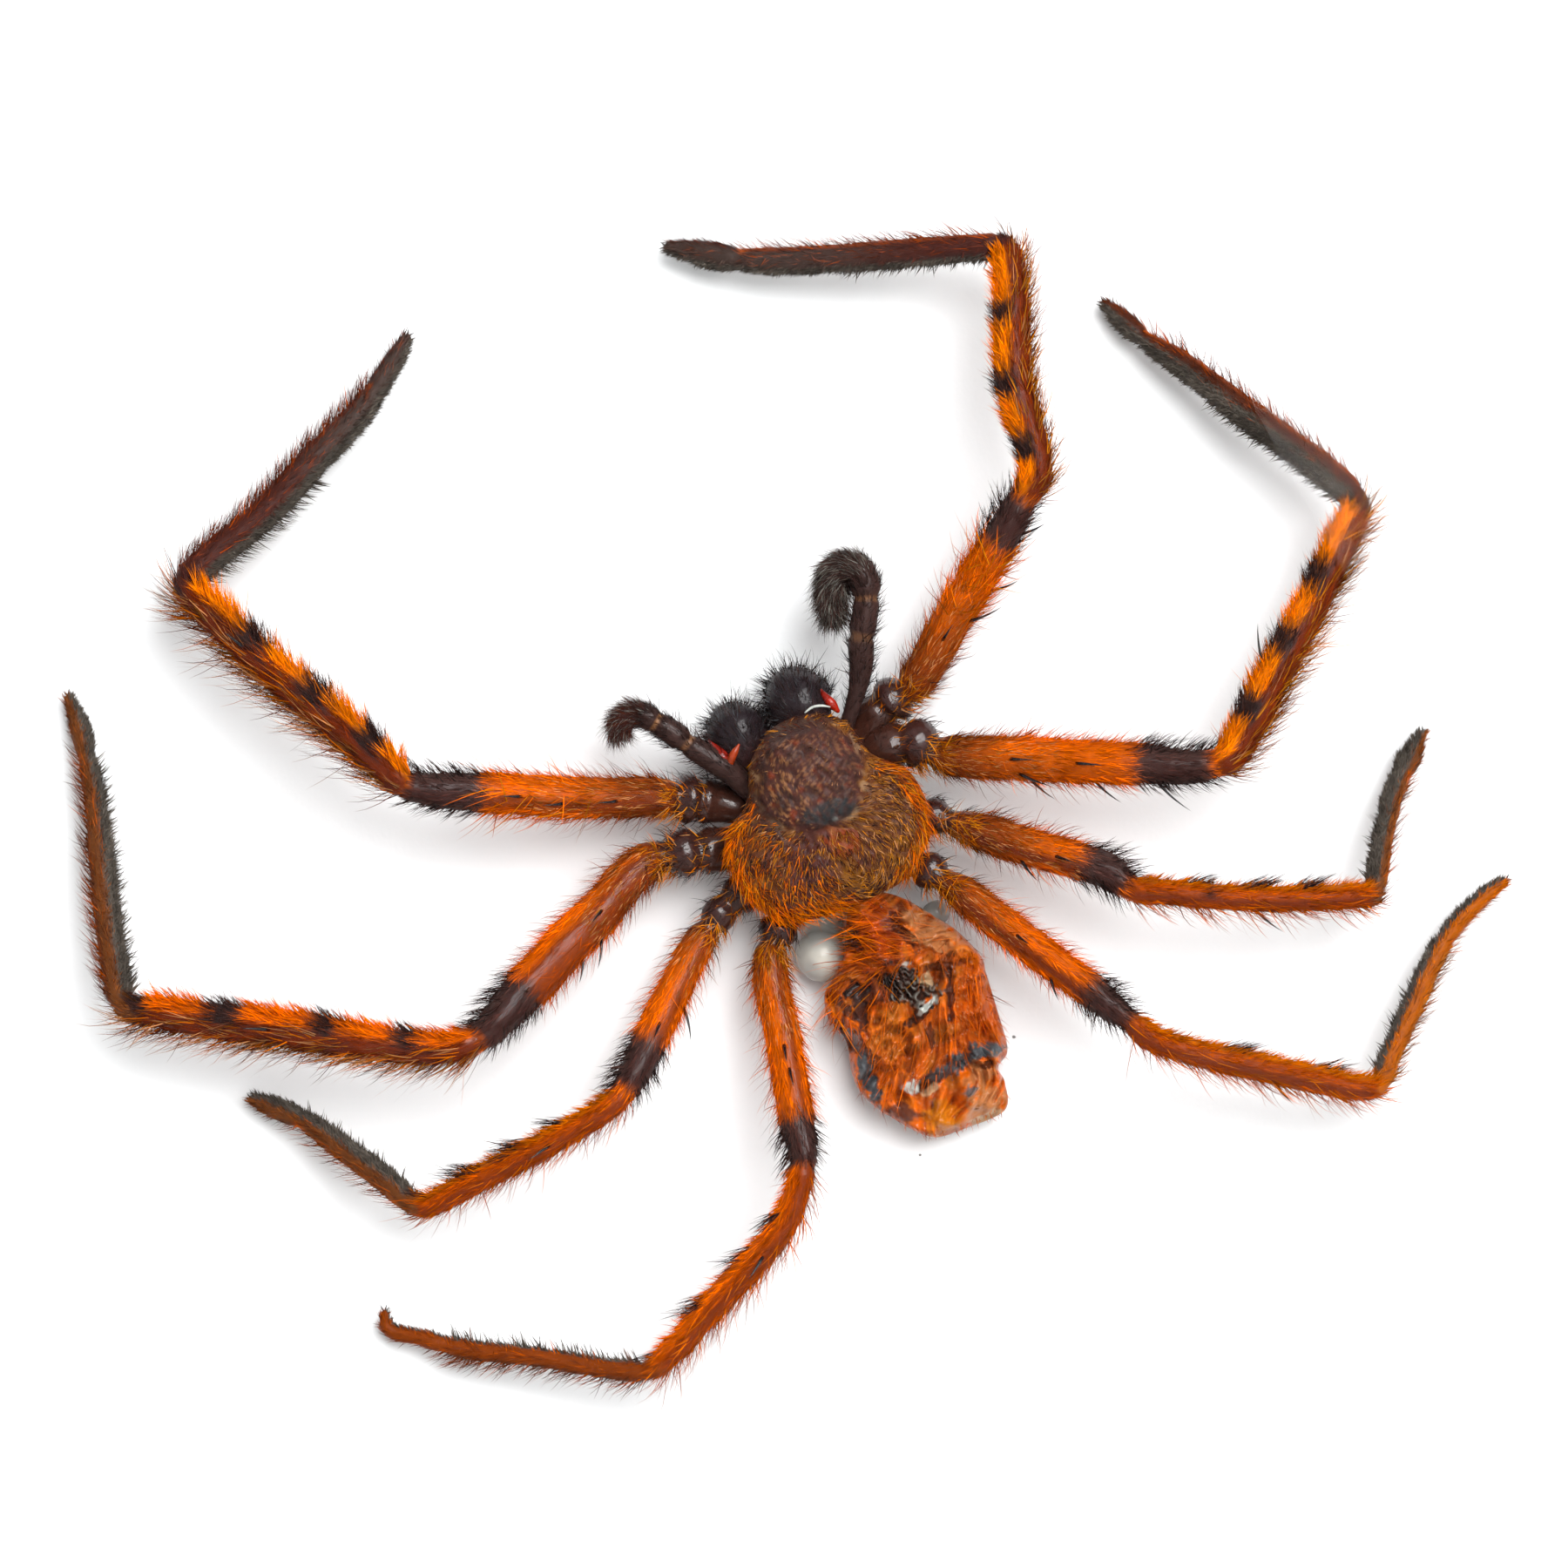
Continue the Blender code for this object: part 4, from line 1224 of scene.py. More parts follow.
    def _thigh_coats(self) -> list[Coat]:
        """Lists the hair from the leg's root to its knee.

        Returns:
            The coats, in the order that they grow.
        """
        base, knee, night = self.base, self.knee, self.night[0]
        dark = blend(UMBER=2, SOOT=2, AMBER=1)
        black = blend(BLACK=1, SOOT=2)
        gold = blend(GOLD=3, AMBER=3, TAN=1)
        pale = blend(TAN=2, OCHRE=1)
        bright = blend(ORANGE=2, GOLD=1, AMBER=1)
        first, last = self.bare
        coats = [
            Coat(0.3, base, 13, 0.4, 28, width=0.045, lean_spread=14, stray=24),
            Coat(0.9, base + 0.2, 7, 1, 52, -40, 220, 0.05, 14, 20, 0.3, 0, 3, black),
            Coat(base - 0.6, base + 0.05, 46, 1.1, 44, 50, 220, 0.05, 16, 34, 0.3, 0, 3, gold),
            Coat(base - 1.5, base - 1, 18, 0.8, 40, 20, 180, 0.05, 16, 34, 0.3, 0, 3, gold),
            Coat(base - 0.2, self.dusk + 0.7, 26, 0.55, 16, tints=pale, share=0.75),
            Coat(base - 0.2, night, 50, 0.75, 12, -35, first),
            Coat(base - 0.2, night, 50, 0.75, 12, last),
            Coat(base - 0.2, night, 44 - 26 * self.sheen, 0.6, 10, first, last),
            Coat(base, night, 26, 0.95, 36, -40, 40, 0.05, 11, 14),
            Coat(base, night, 26, 0.95, 36, 140, 220, 0.05, 11, 14),
            Coat(base, night, 9, 1.6, 56, -40, 30, 0.045, 12, 16, 0.3, 0, 3, dark, 0.6),
            Coat(base, night, 9, 1.6, 56, 150, 220, 0.045, 12, 16, 0.3, 0, 3, dark, 0.6),
            Coat(base, night, 3, 1.1, 22, 40, 140, 0.05, 9, 26, 0.2, 0, 3),
            Coat(night - 0.1, knee, 50, 0.6, 10),
            Coat(night, knee, 34, 1.35, 50, -40, 45, 0.06, 12, 16, 0.2, 3, 3, tints=black),
            Coat(night, knee, 24, 1.15, 46, 135, 220, 0.06, 12, 16, 0.2, 3, 3, tints=black),
            Coat(night, knee, 5, 0.9, 28, 45, 135, 0.05, 10, 22, tints=black),
        ]
        if self.shag:
            middle = (base + night) / 2
            coats.append(Coat(middle, night, self.shag, 2.3, 30, -40, 215, 0.06, 12, 32, 0.3, 0, 3, bright))
        return coats

    def _shin_coats(self) -> list[Coat]:
        """Lists the hair from the knee to the bend: a brush in front and locks behind.

        Returns:
            The coats, in the order that they grow.
        """
        start, end, long, own = self.knee, self.bend, self.locks, self.lock_tints
        fur, brush, bunch = self.fur, self.brush, self.bunch
        return [
            Coat(start - 0.2, end, 50, 0.65, 12, -35, 92),
            Coat(start - 0.2, end, 50, 0.65, 12, 128, 215),
            Coat(start - 0.2, end, 50 - 46 * self.sheen, 0.6, 10, 92, 128),
            Coat(start - 0.1, end - 0.1, 60, 1.15 * brush, 44, -45, 50, 0.055, 10, 12, 0.15, 6, 3),
            Coat(start - 0.1, end - 0.1, 44, 0.95 * brush, 26, 45, 86, 0.055, 8, 12, 0.12, 5),
            Coat(start, end, 5, 1.6 * brush, 56, -45, 25, 0.045, 10, 16, 0.2, 0, 3),
            Coat(start, end, 14 * fur, long * 0.8, 24, 88, 150, 0.055, 9, 16, 0.25, bunch, 3, own, 0.75),
            Coat(start, end, 34 * fur, long, 38, 140, 225, 0.055, 10, 14, 0.25, bunch, 3, own, 0.75),
            Coat(start, end, 10, long * 1.3, 54, 145, 225, 0.05, 12, 18, 0.3, 0, 3, own, 0.75),
        ]

    def _foot_coats(self) -> list[Coat]:
        """Lists the hair from the bend to the tip, with the grey pad along the front.

        Returns:
            The coats, in the order that they grow.
        """
        bend, tarsus, last = self.bend, self.tarsus, float(self.limb.last)
        saw = bend + (tarsus - bend) * self.saw
        dark = blend(UMBER=2, SOOT=2, COPPER=1)
        return [
            Coat(bend - 0.2, last, 60, 0.5, 14, 70, 215, 0.05, 9, 12, 0.15, 3, tints=dark, share=0.35),
            Coat(bend + 0.1, last, 190, 0.4, 52, -65, self.pad_top + 2, 0.055, 14, 18, 0.25, 6),
            Coat(bend + 0.3, saw, self.teeth, self.tooth, 62, -22, 10, 0.08, 6, 6, 0.1, 5),
            Coat(bend + 0.1, tarsus, self.rear, 1.3, 46, 135, 225, 0.05, 12, 16, 0.2, 2, 3, dark, 0.7),
            Coat(bend, tarsus, 6, 0.9, 26, 70, 135, 0.045, 10, 16, tints=dark, share=0.7),
            Coat(tarsus, last, 18, 0.6, 44, 120, 222, 0.04, 12, 14, 0.1, tints=dark, share=0.5),
            Coat(last - 0.8, last, 60, 0.4, 16, 20, 170, 0.045),
        ]

    def coats(self) -> list[Coat]:
        """Lists all of the leg's hair.

        Returns:
            The coats, in the order that they grow.
        """
        black = blend(BLACK=1, SOOT=1)
        tufts = [
            Coat(spot - 0.16, spot + 0.16, 60, 1.6, 34, -40, 40, 0.055, 12, 12, 0.12, 5, 3, black)
            for spot in self.tufts
        ]
        return self._thigh_coats() + self._shin_coats() + self._foot_coats() + tufts

    def add_extras(self, bundle: Bundle) -> None:
        """Adds the stiff spines, and the pair of small hooked claws at the tip.

        Args:
            bundle: what they are added to.
        """
        for thorn in self.thorns:
            self.limb.add_thorn(bundle, thorn)
        way = self.limb.ways[-1]
        tip = self.limb.centres[-1]
        for side in (-1.0, 1.0):
            aim = way + self.limb.facings[-1] * side * 0.45 + self.limb.overs[-1] * 0.3
            curl = self.limb.overs[-1] * -0.5
            add_spike(bundle, tip, aim, curl, 0.5, 0.12)


def dressed(bundle: Bundle, node: str, materials: Materials) -> Piece:
    """Makes a piece that stands for a CAD node and rides with the frame.

    Args:
        bundle: the piece's points and faces.
        node: the CAD node that it replaces.
        materials: the spider's finishes.

    Returns:
        The piece.
    """
    piece = bundle.piece(f"{node}_haired", materials)
    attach(piece, BODY)
    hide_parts(node)
    return piece


def leg_plans() -> list[Leg]:
    """Lists the eight legs as they lie in the photo.

    Returns:
        The legs, ready to be built.
    """
    gold = blend(GOLD=2.5, OCHRE=2, TAN=1, RUST=2, UMBER=1.5)
    fawn = blend(TAN=2.5, OCHRE=1.5, AMBER=2, PLUM=2.5, SOOT=1)
    warm = blend(AMBER=3, COPPER=2, RUSSET=2)
    return [
        Leg("leg_right_1", Side.RIGHT, (
            (3, 2.9, 2.6, 1.4), (4.2, 4, 2.7, 1.8), (5.5, 4.6, 3, 2.1), (6.9, 4.9, 3.6, 2),
            (10.3, 7.3, 4.6, 2.3), (13.6, 9.6, 5.8, 2.2), (15.2, 10.8, 6.3, 1.9), (16.9, 12.1, 6.5, 1.8),
            (17.4, 13.9, 6.4, 2), (17.7, 16.4, 6.1, 2.2), (18.7, 19, 5.6, 2.2), (20.1, 22.5, 4.8, 1.9),
            (20.2, 23.5, 4.4, 1.5), (19.3, 23.9, 4.2, 1.5), (14.7, 25.6, 3.2, 1.7), (10.1, 27.4, 2.3, 1.6),
            (7.8, 28.5, 1.9, 1.4), (6.2, 29.6, 1.5, 1.1), (4.6, 30.7, 1.2, 0.5),
        ), base=3, knee=6.4, bend=12.2, tarsus=16, dusk=3.75, night=(4.98, 6.3),
            bands=((7.32, 8.03), (8.81, 9.32), (10.14, 10.39), (12.2, 12.7)), shin=Tint.RUST,
            foot=Tint.PLUM, rim=Tint.COPPER, locks=1.6, lock_tints=gold, shag=10, brush=0.7, fur=0.8,
            pad_top=50, front=Tint.BLAZE,
            thorns=(
                Thorn(4.05, 150, 2.1), Thorn(4.5, 165, 1.7), Thorn(3.7, 95, 1.4), Thorn(5.6, 170, 1.4),
            ),
            seed=11,
        ),
        Leg("leg_right_2", Side.RIGHT, (
            (3, 1.7, 2.8, 1.6), (4.3, 2.5, 3.2, 2.1), (5.6, 2.3, 3.5, 2.2), (7, 1, 3.7, 2.2),
            (10.7, -0.9, 4.8, 2.6), (15.3, -3.2, 6, 2.5), (18.3, -4.7, 6.5, 1.9), (19.9, -5, 6.6, 1.8),
            (21.5, -4, 6.5, 2.1), (23.3, -2.5, 6.3, 2.2), (27, 0.3, 5.7, 2), (30.3, 3.1, 4.8, 1.9),
            (31.4, 4.1, 4.4, 1.5), (30.9, 5.8, 4, 1.7), (28.5, 10.3, 2.9, 1.8), (26.3, 14.4, 1.9, 1.5),
            (25.1, 16.4, 1.3, 1.1), (24.5, 17.8, 1, 0.9), (24, 18.9, 0.8, 0.4),
        ), base=3, knee=6.6, bend=12.1, tarsus=16, dusk=3.6, night=(5.06, 6.4),
            bands=((8, 8.62), (9.3, 9.65), (10.12, 10.5), (12.1, 12.6)), shin=Tint.RUST, foot=Tint.UMBER,
            rim=Tint.COPPER, locks=1.9, lock_tints=gold, teeth=60, brush=0.75, fur=0.8, pad_top=95,
            front=Tint.BLAZE,
            thorns=(
                Thorn(3.85, 92, 1.4, 28), Thorn(4.52, 96, 1.6, 28), Thorn(3.95, 138, 1.9, 33),
                Thorn(4.05, 168, 1.7), Thorn(4.68, 170, 1.8), Thorn(5.45, 168, 2.3), Thorn(9.2, 10, 2),
            ),
            seed=12,
        ),
        Leg("leg_right_3", Side.RIGHT, (
            (3.4, -0.6, 2.6, 1.4), (4.6, -1.2, 2.7, 1.8), (5.8, -2.2, 3.3, 1.9), (8.9, -5, 4.4, 2.2),
            (12.1, -7.8, 5.4, 2.1), (12.9, -9.1, 5.8, 1.5), (14.6, -10.1, 5.9, 1.5), (16.2, -11, 5.8, 1.5),
            (19.9, -12.8, 5.3, 1.5), (23.2, -14.1, 4.6, 1.5), (24, -14.4, 4.3, 1.3),
            (24.8, -13.4, 3.8, 1.2), (26.1, -11.6, 2.9, 1.2), (27.3, -10.2, 2.1, 1.2),
            (28.6, -9.1, 1.4, 1), (30, -8, 0.8, 0.4),
        ), base=2.3, knee=4.9, bend=10.2, tarsus=13.6, dusk=2.95, night=(3.64, 4.75),
            bands=((6.85, 7.02),), shin=Tint.COPPER, foot=Tint.HAZEL, rim=Tint.AMBER, locks=1.4,
            lock_tints=warm, sheen=0.9, pad_top=100, front=Tint.AMBER, split=50,
            tufts=(6.5, 7.5, 8.2, 9.4),
            thorns=(Thorn(3, 150, 1.6), Thorn(3.4, 95, 1.5), Thorn(7.6, 175, 1.8)), seed=13,
        ),
        Leg("leg_right_4", Side.RIGHT, (
            (2.4, -2.4, 2.6, 1.4), (3.5, -3.6, 2.7, 1.8), (4.4, -4.9, 3.2, 1.8), (6.4, -8.6, 4.2, 2.1),
            (8.9, -13.1, 5.4, 2), (9.9, -15, 5.9, 1.4), (10.8, -16.6, 6, 1.5), (12, -17.7, 6, 1.5),
            (14.5, -19.6, 5.6, 1.7), (17.9, -22.1, 4.8, 1.6), (19.7, -23.3, 4.4, 1.4),
            (20.4, -23.4, 4.2, 1.2), (21.4, -22.5, 3.7, 1.2), (24.2, -20.1, 2.7, 1.3),
            (25.6, -18.9, 2.2, 1.2), (26.9, -18, 1.8, 1.1), (29.4, -17, 1, 0.7), (30.8, -16.7, 0.8, 0.4),
        ), base=2.2, knee=5.1, bend=11, tarsus=14.8, dusk=2.5, night=(3.9, 5.1), bands=(),
            shin=Tint.COPPER, foot=Tint.AMBER, rim=Tint.GOLD, locks=1.5, lock_tints=warm, sheen=0.9,
            front=Tint.AMBER, split=50, pad_top=62, rear=36, tufts=(7.7, 9, 10.6),
            thorns=(Thorn(3.1, 90, 1.2), Thorn(3.6, 150, 1.4), Thorn(8.4, 170, 1.3)), seed=14,
        ),
        Leg("leg_left_1", Side.LEFT, (
            (-3.6, 2.7, 2.6, 1.4), (-4.8, 3.6, 2.7, 1.9), (-5.8, 4.2, 3.1, 2.2), (-6.9, 4.8, 3.6, 2.1),
            (-10.4, 6.3, 4.4, 2.4), (-15.1, 8.7, 5.5, 2.4), (-18, 10.2, 6.2, 1.9), (-18.8, 10.9, 6.4, 1.8),
            (-19.3, 12.1, 6.4, 2), (-20.2, 14.2, 6.2, 2.2), (-22.9, 19.6, 5.4, 2.1), (-24.3, 23, 4.8, 2),
            (-24.9, 24.7, 4.4, 1.6), (-23.7, 25.3, 4.1, 1.7), (-20, 26.4, 3.4, 1.8),
            (-16.8, 27.8, 2.7, 1.8), (-13.5, 29.2, 1.9, 1.6), (-12, 30.1, 1.5, 1.3),
            (-10.6, 31.1, 1.1, 0.8), (-9.5, 31.9, 0.9, 0.5),
        ), base=3, knee=6.8, bend=12.1, tarsus=16.8, dusk=3.9, night=(5.03, 6.7),
            bands=((8.15, 8.8), (9.25, 9.56), (9.96, 10.42)), shin=Tint.RUST, foot=Tint.PLUM,
            rim=Tint.RUST, locks=2.2, lock_tints=fawn, shag=3, brush=1.1, fur=1, bunch=7, pad_top=60,
            sheen=0.75, rear=50, split=68, front=Tint.BLAZE, teeth=60, tooth=1,
            thorns=(
                Thorn(4.3, 110, 1.2, 30), Thorn(4.7, 95, 1.2, 30), Thorn(3.7, 100, 1.1, 30),
                Thorn(10.2, 95, 1.6),
            ),
            seed=15,
        ),
        Leg("leg_left_2", Side.LEFT, (
            (-4, 0.9, 2.6, 1.4), (-5.4, 1.2, 2.7, 1.9), (-6.9, 1.7, 3, 2.2), (-8.9, 2.2, 3.4, 2.1),
            (-12.9, 0.6, 4.6, 2.7), (-16.9, -1, 5.6, 2.7), (-19.1, -2, 6.3, 2.2), (-20.4, -2.5, 6.5, 1.8),
            (-22.2, -2.3, 6.5, 1.8), (-25.8, -0.4, 6.1, 2.1), (-29.2, 1.8, 5.5, 2.2), (-33, 4, 4.9, 2.1),
            (-34.8, 5.2, 4.6, 1.9), (-36.5, 6.3, 4.2, 1.4), (-36.3, 7.9, 3.8, 1.6),
            (-34.7, 13.7, 2.5, 1.5), (-33.6, 17.5, 1.7, 1.2), (-33.4, 18.7, 1.4, 1.1),
            (-33.1, 20.3, 1.1, 0.9), (-33, 22.1, 0.8, 0.4),
        ), base=3, knee=7.1, bend=13, tarsus=17.1, dusk=3.4, night=(5.15, 7),
            bands=((8.32, 8.64), (9.34, 9.66), (10.5, 10.96), (12.25, 12.75)), shin=Tint.RUST,
            foot=Tint.HAZEL, rim=Tint.RUSSET, locks=1.9, lock_tints=fawn, bare=(60, 165), sheen=0.8,
            teeth=56, tooth=0.85, rear=44, brush=0.85, fur=1, bunch=6, saw=1, split=75,
            thorns=(Thorn(4.1, 165, 1.6), Thorn(4.4, 175, 1.3), Thorn(3.9, 92, 1.2), Thorn(10.2, 95, 1.6)),
            seed=16,
        ),
        Leg("leg_left_3", Side.LEFT, (
            (-3.8, -0.9, 2.6, 1.4), (-5.2, -1.2, 2.7, 1.8), (-6.9, -1.8, 2.9, 2), (-8.3, -2.6, 3.2, 1.8),
            (-11.3, -5, 4.4, 2.1), (-13.9, -7.2, 5.4, 2), (-15.1, -8.1, 5.8, 1.5), (-16.5, -8.5, 5.9, 1.5),
            (-18, -8.7, 5.8, 1.5), (-20.4, -8.9, 5.5, 1.6), (-24.9, -9.2, 4.7, 1.5),
            (-26.4, -9.3, 4.4, 1.4), (-27.1, -9, 4.2, 1.3), (-27.8, -7.6, 3.7, 1.4), (-28.9, -5.8, 3, 1.5),
            (-30.8, -2.7, 1.8, 1.2), (-31.8, -1.7, 1.2, 0.9), (-32.8, -0.7, 0.8, 0.5),
        ), base=2.8, knee=6, bend=12.1, tarsus=15, dusk=3.1, night=(4.5, 5.7), bands=(), shin=Tint.COPPER,
            foot=Tint.HAZEL, rim=Tint.AMBER, locks=1.3, lock_tints=warm, sheen=0.7, front=Tint.AMBER,
            split=50, saw=1, tufts=(8.2, 9.1, 9.75, 11),
            thorns=(Thorn(3.9, 170, 1.9), Thorn(4.3, 95, 1.5), Thorn(8.6, 100, 1.5)), seed=17,
        ),
        Leg("leg_left_4", Side.LEFT, (
            (-2.6, -2.5, 2.6, 1.4), (-4.1, -3.5, 2.7, 1.8), (-5.2, -4.5, 2.9, 1.9), (-6.5, -9, 4.2, 2.1),
            (-7.5, -12.9, 5.3, 2.1), (-8, -14.9, 5.9, 1.6), (-8.7, -15.9, 6, 1.5), (-9.9, -17.2, 6, 1.6),
            (-12.1, -18.5, 5.7, 1.7), (-15.2, -19.8, 5.1, 1.7), (-18.2, -21.2, 4.5, 1.5),
            (-19.5, -21.6, 4.2, 1.2), (-21.2, -20.9, 3.6, 1.1), (-24.6, -18.8, 2.6, 1.1),
            (-28.3, -16.7, 1.6, 1.1), (-29.8, -15.5, 1.2, 0.9), (-31.2, -14.3, 0.9, 0.6),
            (-31, -13.5, 1.1, 0.3),
        ), base=2.1, knee=5.2, bend=11, tarsus=14.3, dusk=2.3, night=(3.95, 5.2), bands=(),
            shin=Tint.COPPER, foot=Tint.RUSSET, rim=Tint.HAZEL, locks=1.6, lock_tints=warm, sheen=0.7,
            pad_top=30, teeth=60, tooth=0.9, rear=50, saw=1, split=60, tufts=(7.1, 8.1, 9.1, 10.5),
            thorns=(Thorn(3.1, 90, 1.4), Thorn(3.4, 95, 1.4), Thorn(7.9, 100, 1.5)), seed=18,
        ),
    ]


@dataclass
class Feeler(Furred):
    """One palp: dark segments with pale joints and grey fuzz on the last one."""

    name: str
    side: Side
    joints: Path
    waists: tuple[float, ...]
    fuzz_start: float
    fuzz: Blend
    seed: int
    slot = "palp_brown"
    shine = 0.15

    def __post_init__(self) -> None:
        """Works out the limb's middle line."""
        self.limb = Limb(self.joints, self.side.value, self.seed, core=0.92, waists=self.waists)

    def paint(self, stations: Array, angles: Array) -> Array:
        """Gives the palp's colour at each station and angle."""
        return layered(len(stations), Tint.SOOT, [
            (Tint.TAN, within(stations, spot - 0.07, spot + 0.07, 0.08) * 0.55) for spot in self.waists
        ])

    def coats(self) -> Sequence[Coat]:
        """Lists the short hair of the segments and the fuzz at the end.

        Returns:
            The coats, in the order that they grow.
        """
        start, last = self.fuzz_start, float(self.limb.last)
        dark = blend(BLACK=2, SOOT=3)
        return (
            Coat(0.3, start, 24, 0.35, 20, -80, 260, 0.04, 12, 14, tints=dark),
            Coat(0.6, start, 20, 0.9, 46, -70, 250, 0.05, 14, 20, 0.2, 0, 3, dark),
            Coat(start - 1.6, start, 70, 0.5, 30, -80, 260, 0.035, 14, 16, 0.15, 0, 2, dark),
            Coat(start - 0.3, last, 190, 0.5, 32, -90, 270, 0.03, 14, 16, 0.15, 0, 2, self.fuzz),
            Coat(start, last, 110, 0.95, 44, -80, 200, 0.028, 14, 18, 0.2, 0, 3, self.fuzz),
            Coat(last - 0.8, last, 160, 0.7, 24, -90, 270, 0.03, 14, 16, 0.1, 0, 3, self.fuzz),
        )


@dataclass(frozen=True)
class Fold:
    """A thin fold of skin beside a jaw, and its colour, or a pale strip painted as a highlight along a glossy
    edge.
    """

    joints: Path
    tint: Tint

    def paint(self, stations: Array, angles: Array) -> Array:
        """Gives the fold's one colour at each station and angle."""
        return layered(len(stations), self.tint, [])

    def gloss(self, stations: Array, angles: Array) -> Array:
        """Gives full gloss at each station and angle."""
        return np.ones(len(stations))


@dataclass
class Jaw(Furred):
    """One chelicera: a black fuzzy lobe, its folded fang and the folds of skin beside it, and on the right
    jaw a pale strip that is a painted highlight.
    """

    name: str
    side: Side
    joints: Path
    folds: tuple[Fold, ...]
    seed: int
    slot = "jaw_black"
    shine = 0.25
    sides = 28

    def __post_init__(self) -> None:
        """Works out the limb's middle line."""
        self.limb = Limb(self.joints, self.side.value, self.seed, core=0.96, steps=8)

    def paint(self, stations: Array, angles: Array) -> Array:
        """Gives the jaw's colour at each station and angle."""
        root = within(stations, -1.0, 1.8, 1.2) * 0.7
        return layered(len(stations), (0.016, 0.01, 0.012), [(Tint.PLUM, root)])

    def coats(self) -> Sequence[Coat]:
        """Lists the jaw's fuzz.

        Returns:
            The coats, from short to long.
        """
        dark = blend(BLACK=4, SOOT=2, SLATE=1.5)
        return (
            Coat(1.8, 4.8, 70, 0.45, 30, -90, 270, 0.04, 14, 24, tints=dark),
            Coat(1.4, 4.8, 26, 1, 58, -90, 270, 0.038, 14, 26, 0.2, 0, 3, dark),
            Coat(2, 4.8, 9, 1.6, 62, -90, 270, 0.04, 12, 26, 0.25, 0, 4, dark),
        )

    def add_extras(self, bundle: Bundle) -> None:
        """Adds the wet folds of skin beside the jaw, and any pale strip among them, which is a painted
        highlight.

        Args:
            bundle: what they are added to.
        """
        for fold in self.folds:
            film = Limb(fold.joints, self.side.value, self.seed + 1, core=1.0)
            film.add_skin(bundle, fold.paint, fold.gloss, 12, Part.GLOSS)


@dataclass(frozen=True)
class Patch:
    """A coloured patch on a mound, turned in plan, with its rise in millimetres."""

    x: float
    y: float
    long: float
    short: float
    turn: float
    tint: Tint
    strength: float = 1.0
    rise: float = 0.0

    def weight(self, spots: Array, uneven: Union[Array, float] = 0.0) -> Array:
        """Says how far each spot lies in the patch, from 0 to 1.

        Args:
            spots: places in plan.
            uneven: how ragged its edge is at each.

        Returns:
            A weight for each spot.
        """
        angle = math.radians(self.turn)
        away = spots - (self.x, self.y)
        along = (away[:, 0] * math.cos(angle) + away[:, 1] * math.sin(angle)) / self.long
        across = (away[:, 1] * math.cos(angle) - away[:, 0] * math.sin(angle)) / self.short
        return ease((1.2 - np.hypot(along, across) + uneven * 0.25) / 0.4)

    def layer(self, spots: Array, uneven: Array) -> tuple[Tint, Array]:
        """Gives the patch's colour with its weight at each spot."""
        return self.tint, self.weight(spots, uneven) * self.strength


@dataclass(frozen=True)
class Pelt:
    """How hair grows on a mound: its size, how it lies and the colours it is picked from."""

    length: float
    lean: float
    tints: Blend
    width: float = 0.05
    stray: float = 14.0
    curl: float = 0.12
    joints: int = 2
    share: float = 1.0
    wild: float = 0.0


